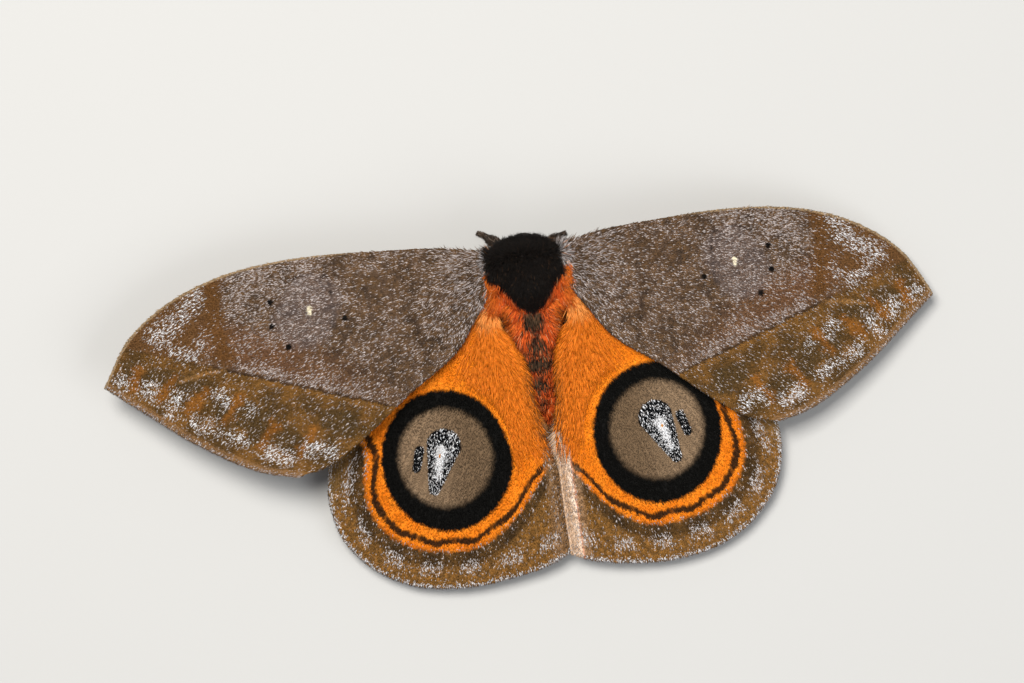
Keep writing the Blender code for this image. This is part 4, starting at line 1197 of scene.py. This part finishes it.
for name in HOLD:
    wing = Wing(name)
    kind, side_name = name.split("_")
    top = fore_sheet if kind == "forewing" else hind_sheet[side_name]
    scales = fore_scales if kind == "forewing" else hind_scales[side_name]
    sheet = wing_sheet(wing, top, under_sheet)
    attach(sheet, "root")
    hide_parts(name)
    draw = np.random.RandomState(40 + len(name) + (7 if side_name == "left" else 0))
    count, length, width = UPPER_SCALES[kind]
    crowded = None if kind == "forewing" else lambda u, v: 1 + 2.2 * near_pupil(wing.flat(u, v))
    u, v = wing.spread(draw, count, crowded)
    fine = 0.0 if kind == "forewing" else 0.5 * near_pupil(wing.flat(u, v))
    here, normal, ahead, _ = wing.frame(u, v)
    shaggy = eased((0.2 - u) / 0.17)
    along = lie(normal, ahead, 0.15 + 0.25 * shaggy, draw)
    near_margin = eased((u - 0.8) / 0.2)
    lengths = length * draw.uniform(0.75, 1.25, count) * (1 + 0.8 * shaggy) * (1 - 0.3 * near_margin)
    lengths = lengths * (1 - fine)
    lifts = draw.uniform(0.03, 0.13, count) + 0.2 * shaggy * draw.uniform(0, 1, count)
    roots = here + normal * wing.half(u, v)[:, None]
    tips = roots + along * lengths[:, None] + normal * lifts[:, None]
    marks = wing.marks(draw, u, v, 0.45 * lengths)
    widths = width * draw.uniform(0.75, 1.25, count) * (1 - 0.6 * fine)
    unwrap = np.stack((u, v), axis=1)
    coat = spikes(name + "_scales", roots, tips, normal, widths, unwrap, marks, scales, rings=0, bow=0.03)
    count, length, width = UNDER_SCALES
    u, v = wing.spread(draw, count)
    here, normal, ahead, _ = wing.frame(u, v)
    roots = here - normal * wing.half(u, v)[:, None]
    marks = wing.marks(draw, u, v)
    lengths = np.minimum(length * draw.uniform(0.8, 1.2, count), marks["plan"][:, 2] + 0.12)[:, None]
    tips = roots + lie(normal, ahead, 0.12, draw) * lengths - normal * draw.uniform(0.03, 0.12, (count, 1))
    unwrap = np.stack((u, v), axis=1)
    under_coat = spikes(name + "_under_scales", roots, tips, -normal, width, unwrap, marks, under_scales,
                        rings=0, bow=0.03)
    v = draw.uniform(0.0, 1.0, FRINGE_HAIRS)
    u = np.full(FRINGE_HAIRS, 0.997)
    outer_hair = fringe(wing, draw, name + "_fringe", u, v, wing.frame(u, v)[2], FRINGE_LENGTH, scales)
    u = draw.uniform(0.02, 0.95, INNER_EDGE_HAIRS) ** 1.2
    v = np.full(INNER_EDGE_HAIRS, 0.996)
    _, _, ahead, rearward = wing.frame(u, v)
    long = 0.35 + 0.45 * eased((0.45 - u) / 0.4)[:, None]
    if kind == "hindwing":
        behind_tail = np.exp(-((u[:, None] - 0.53) / 0.09) ** 2)
        at_waist = eased((0.22 - u[:, None]) / 0.15)
        long = long + 1.5 * behind_tail + 1.3 * at_waist
    inner_hair = fringe(wing, draw, name + "_inner_edge", u, v, ahead + rearward * 0.9, long, scales)
    u = draw.uniform(0.0, 0.99, LEADING_EDGE_HAIRS)
    v = np.full(LEADING_EDGE_HAIRS, 0.002)
    _, _, ahead, rearward = wing.frame(u, v)
    long = 0.35 + 0.5 * eased((0.2 - u) / 0.2)[:, None]
    leading_hair = fringe(wing, draw, name + "_leading_edge", u, v, ahead - rearward * 0.25, long, scales)
    for piece in (coat, under_coat, outer_hair, inner_hair, leading_hair):
        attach(piece, "root")

# The long hair of the hindwings' inner half.
# From the shoulder and down beside the abdomen the orange scales grow out into soft, silky hair four times
# as long, which sweeps back over the abdomen's flanks and leaves the eyespot bare.
silk, tree, shader = new_material("hindwing_silk", 0.5)
plan = read(tree, "plan")
x, y, _ = split(plan)
luck, second_luck, _ = split(read(tree, "luck"))
colour = tint(luck, linear(204, 104, 16), linear(222, 122, 26))
at = vector_calc("MULTIPLY", plan, (1.0, 1.0, 0.0))
# The silk at the hindwing's root, just behind the forewing's root, is paler: a painted highlight on the
# hair there.
root_highlight = stroke(at, (5.2, 3.4), (5.6, 5.2), 1.0, 0.7, 1.4)
colour = tint(times(root_highlight, 0.7), colour, linear(238, 160, 84))
# About half the hairs beside the abdomen, from 10 to 24 mm back, are dark brown: dark hair ends together
# with painted shade along the abdomen's flanks.
near_body = rise(plus(x, times(y, 0.11)), 4.9, 3.5)
dark_hair_and_shade = times(rise(second_luck, 0.45, 0.5), near_body, band(y, 10.0, 24.0, 2.5))
colour = tint(times(dark_hair_and_shade, 0.85), colour, linear(70, 48, 28))
link(colour, shader.inputs["Base Color"])
SILK_HAIRS, SILK_HAIR, SILK_LIFT, SILK_WIDTH = 6500, (1.6, 3.0), (0.08, 0.35), 0.085
SILK_CLEAR = 8.9


def silky(u, v):
    inner_half = eased((v - 0.42) / 0.4) * eased((0.62 - u) / 0.25)
    beside_body = 2.0 * eased((v - 0.9) / 0.1) * (eased((0.5 - u) / 0.3) + 2.0 * eased((0.2 - u) / 0.15))
    return inner_half + 0.5 * eased((0.3 - u) / 0.3) + beside_body


for side_name in ("left", "right"):
    wing = Wing("hindwing_" + side_name)
    draw = np.random.RandomState(71 + len(side_name))
    u, v = wing.spread(draw, SILK_HAIRS, silky)
    here, normal, ahead, _ = wing.frame(u, v)
    inward = 0.25 + 0.6 * eased((0.3 - u[:, None]) / 0.2)
    back = ahead + np.array((-wing.side, 0.3, 0)) * inward * eased((v[:, None] - 0.72) / 0.28)
    roots = here + normal * wing.half(u, v)[:, None]
    tips = comb(draw, roots, normal, back, 0.09, SILK_HAIR, SILK_LIFT)
    bare = np.array((wing.side * RING[0], RING[1]))
    from_eyespot = np.minimum(*(np.hypot(*(ends[:, :2] - bare).T) for ends in (roots, tips)))
    keep = from_eyespot > SILK_CLEAR
    u, v = u[keep], v[keep]
    coat = spikes(wing.name + "_silk", roots[keep], tips[keep], normal[keep], SILK_WIDTH,
                  np.stack((u, v), axis=1), wing.marks(draw, u, v), silk, rings=2, bow=0.06)
    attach(coat, "root")

# The eyes.
# Two large compound eyes, glossy black domes of many small facets, sunk in the sides of the head.
EYE_MIDDLE = (1.5, -3.42, 5.35)
EYE_RADIUS = 0.84
eye_shell, tree, shader = new_material("eye_shell", 0.22, 0.22)
seat = seat_on(tree)
facets = tree.nodes.new("ShaderNodeTexVoronoi")
facets.inputs["Scale"].default_value = 11000.0
link(seat, facets.inputs["Vector"])
link(tint(noise(seat, 700.0), linear(6, 5, 4), linear(22, 14, 9)), shader.inputs["Base Color"])
bump(facets.outputs["Distance"], 0.02, shader)
shader.inputs["Coat Weight"].default_value = 0.05
for side_name, side in (("left", 1), ("right", -1)):
    deselect()
    bpy.ops.mesh.primitive_uv_sphere_add(segments=48, ring_count=32, radius=EYE_RADIUS * MM,
                                         location=place(np.array(EYE_MIDDLE) * (side, 1, 1)))
    eye = bpy.context.object
    eye.name = f"compound_eye_{side_name}"
    eye.scale = (0.92, 0.95, 1.0)
    bpy.ops.object.transform_apply(location=True, rotation=True, scale=True)
    eye.data.shade_smooth()
    eye.data.materials.append(eye_shell)
    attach(eye, "root")
    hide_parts(f"eye_{side_name}")

# The antennae.
# Short and feathered, as in any male of the kind, and laid back under the leading edge of the forewings.
# Each is a tapering shaft with a row of fine teeth along both sides.
ANTENNA = ((0.75, -2.9, 6.3), (1.15, -3.1, 6.66), (1.6, -3.2, 6.78), (2.3, -3.25, 6.83), (3.4, -2.9, 6.7),
           (4.8, -2.2, 6.6), (6.4, -1.6, 6.5), (8.4, -1.1, 6.35), (10.4, -0.7, 6.15), (12.4, -0.4, 5.9))
SHAFT_THICKNESS = (0.26, 0.26, 0.19, 0.19, 0.18, 0.16, 0.14, 0.12, 0.09, 0.05)
TEETH, TOOTH_LENGTH, TOOTH_WIDTH = 72, 1.45, 0.075
antenna_horn, tree, shader = new_material("antenna_horn", 0.62, 0.2)
seat = seat_on(tree)
link(tint(noise(seat, 1500.0), linear(50, 32, 18), linear(92, 62, 36)), shader.inputs["Base Color"])
bump(noise(seat, 5000.0), 0.03, shader)
for side_name, side in (("left", 1), ("right", -1)):
    shaft = add_limb(f"antenna_shaft_{side_name}", ANTENNA, SHAFT_THICKNESS, side)
    shaft.data.shade_smooth()
    shaft.data.materials.clear()
    shaft.data.materials.append(antenna_horn)
    shares = np.repeat(np.linspace(0.14, 0.99, TEETH), 2)
    middles, headings = curve_at(np.array(ANTENNA) * (side, 1, 1), shares)
    edges = np.tile((1.0, -1.0), TEETH)[:, None]
    out = unit(np.cross(headings, (0, 0, 1.0))) * edges
    arch = np.sin(math.pi * np.clip(0.25 + shares * 0.62, 0, 1)) ** 0.8
    long = TOOTH_LENGTH * arch * (0.35 + 0.65 * eased((shares - 0.12) / 0.25))
    upward = np.tile((0, 0, 1.0), (len(out), 1))
    tips = middles + unit(out + headings * 0.45) * long[:, None] - upward * 0.15
    unwrap = np.stack((shares, edges[:, 0] * 0.25 + 0.5), axis=1)
    teeth = spikes(f"antenna_teeth_{side_name}", middles, tips, upward, TOOTH_WIDTH, unwrap, {},
                   antenna_horn, rings=3, sink=0.0)
    for piece in (shaft, teeth):
        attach(piece, "root")
    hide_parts(f"antenna_{side_name}")

# The face.
# Short dark hair all over the head but the eyes, and two short palps that hang in front of the mouth.
PALP = ((0.4, -3.5, 4.4), (0.46, -3.8, 4.0), (0.5, -3.95, 3.55), (0.52, -3.92, 3.1))
PALP_THICKNESS = (0.22, 0.26, 0.22, 0.12)
FACE_HAIRS, FACE_HAIR, FACE_LIFT, FACE_HAIR_WIDTH = 4400, (0.35, 0.75), (0.1, 0.35), 0.075
PALP_HAIRS, PALP_HAIR, PALP_LIFT = 700, (0.25, 0.5), (0.02, 0.15)


def on_face(points, normals):
    return (points[:, 1] < HEAD_BACK_Y) & (points[:, 2] < FACE_Z) & (points[:, 2] > 3.6)


def off_the_eyes(points, margin):
    eyes = np.array([np.array(EYE_MIDDLE) * (side, 1, 1) for side in (1, -1)])
    return np.min(np.linalg.norm(points[:, None] - eyes[None], axis=2), axis=1) > EYE_RADIUS + margin


draw = np.random.RandomState(29)
roots, normals, unwrap = skin_spots(draw, FACE_HAIRS, on_face)
heading = np.stack((0.1 * roots[:, 0], np.full(FACE_HAIRS, -0.8), np.full(FACE_HAIRS, -0.55)), axis=1)
tips = comb(draw, roots, normals, heading, 0.25, FACE_HAIR, FACE_LIFT)
keep = off_the_eyes(roots, -0.02) & off_the_eyes(tips, 0.03)
roots, tips, normals, unwrap = roots[keep], tips[keep], normals[keep], unwrap[keep]
marks = {"tone": body_tone(roots), "luck": dice(draw, len(roots))}
coat = spikes("face_fur", roots, tips, normals, FACE_HAIR_WIDTH, unwrap, marks, fur, rings=2, bow=0.06)
face_coats = [coat]
for side_name, side in (("left", 1), ("right", -1)):
    palp = add_limb(f"palp_{side_name}", PALP, PALP_THICKNESS, side)
    palp.data.shade_smooth()
    palp.data.materials.clear()
    palp.data.materials.append(claw_horn)
    roots, normals, headings, unwrap = limb_spots(draw, PALP_HAIRS, PALP, PALP_THICKNESS, side)
    tips = comb(draw, roots, normals, headings, 0.25, PALP_HAIR, PALP_LIFT)
    marks = {"tone": np.tile((0.6, 1.0, 0.0), (PALP_HAIRS, 1)), "luck": dice(draw, PALP_HAIRS)}
    coat = spikes(f"palp_fur_{side_name}", roots, tips, normals, FACE_HAIR_WIDTH, unwrap, marks, fur)
    face_coats += [palp, coat]
for coat in face_coats:
    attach(coat, "root")

# The floor, the light and the camera.
# A pale matt table, a large soft light from in front, a fill from behind, and the camera straight above,
# with the head up the picture and leaning a little to its left.
CAMERA_TO_WINGS = 400.0
WING_LEVEL = 7.0
VIEW_WIDTH = 128.5
CAMERA_SIDE, CAMERA_BACK = 2.96, 9.0
HEAD_LEAN = 7.0
bpy.ops.mesh.primitive_plane_add(size=2.0, location=(0, 0, 0))
floor = bpy.context.object
floor.name = "floor"
floor_finish, tree, shader = new_material("floor_finish", 0.8, 0.3)
shader.inputs["Base Color"].default_value = linear(168, 167, 164)
floor.data.materials.append(floor_finish)


def soft_light(name, place_at, size, power, colour):
    """A square soft light that faces the moth."""
    data = bpy.data.lights.new(name, "AREA")
    data.size = size
    data.energy = power
    data.color = colour
    light = bpy.data.objects.new(name, data)
    bpy.context.scene.collection.objects.link(light)
    light.location = place_at
    light.rotation_euler = (-Vector(place_at)).to_track_quat("-Z", "Y").to_euler()


soft_light("key", (0.1, -0.2, 0.56), 0.24, 6.0, (1.0, 0.98, 0.95))
soft_light("fill", (-0.35, 0.3, 0.42), 0.4, 2.2, (0.95, 0.97, 1.0))
world = bpy.data.worlds.new("room")
world.use_nodes = True
world.node_tree.nodes["Background"].inputs["Color"].default_value = (0.9, 0.93, 1.0, 1)
world.node_tree.nodes["Background"].inputs["Strength"].default_value = 0.35
bpy.context.scene.world = world
bpy.context.scene.view_settings.view_transform = "Standard"
lens = bpy.data.cameras.new("camera")
lens.sensor_width = 36.0
lens.lens = lens.sensor_width * CAMERA_TO_WINGS / VIEW_WIDTH
lens.clip_start = 0.01
camera = bpy.data.objects.new("camera", lens)
bpy.context.scene.collection.objects.link(camera)
camera.location = place((CAMERA_SIDE, CAMERA_BACK, WING_LEVEL + CAMERA_TO_WINGS))
camera.rotation_euler = (0, 0, math.radians(180 - HEAD_LEAN))
bpy.context.scene.camera = camera
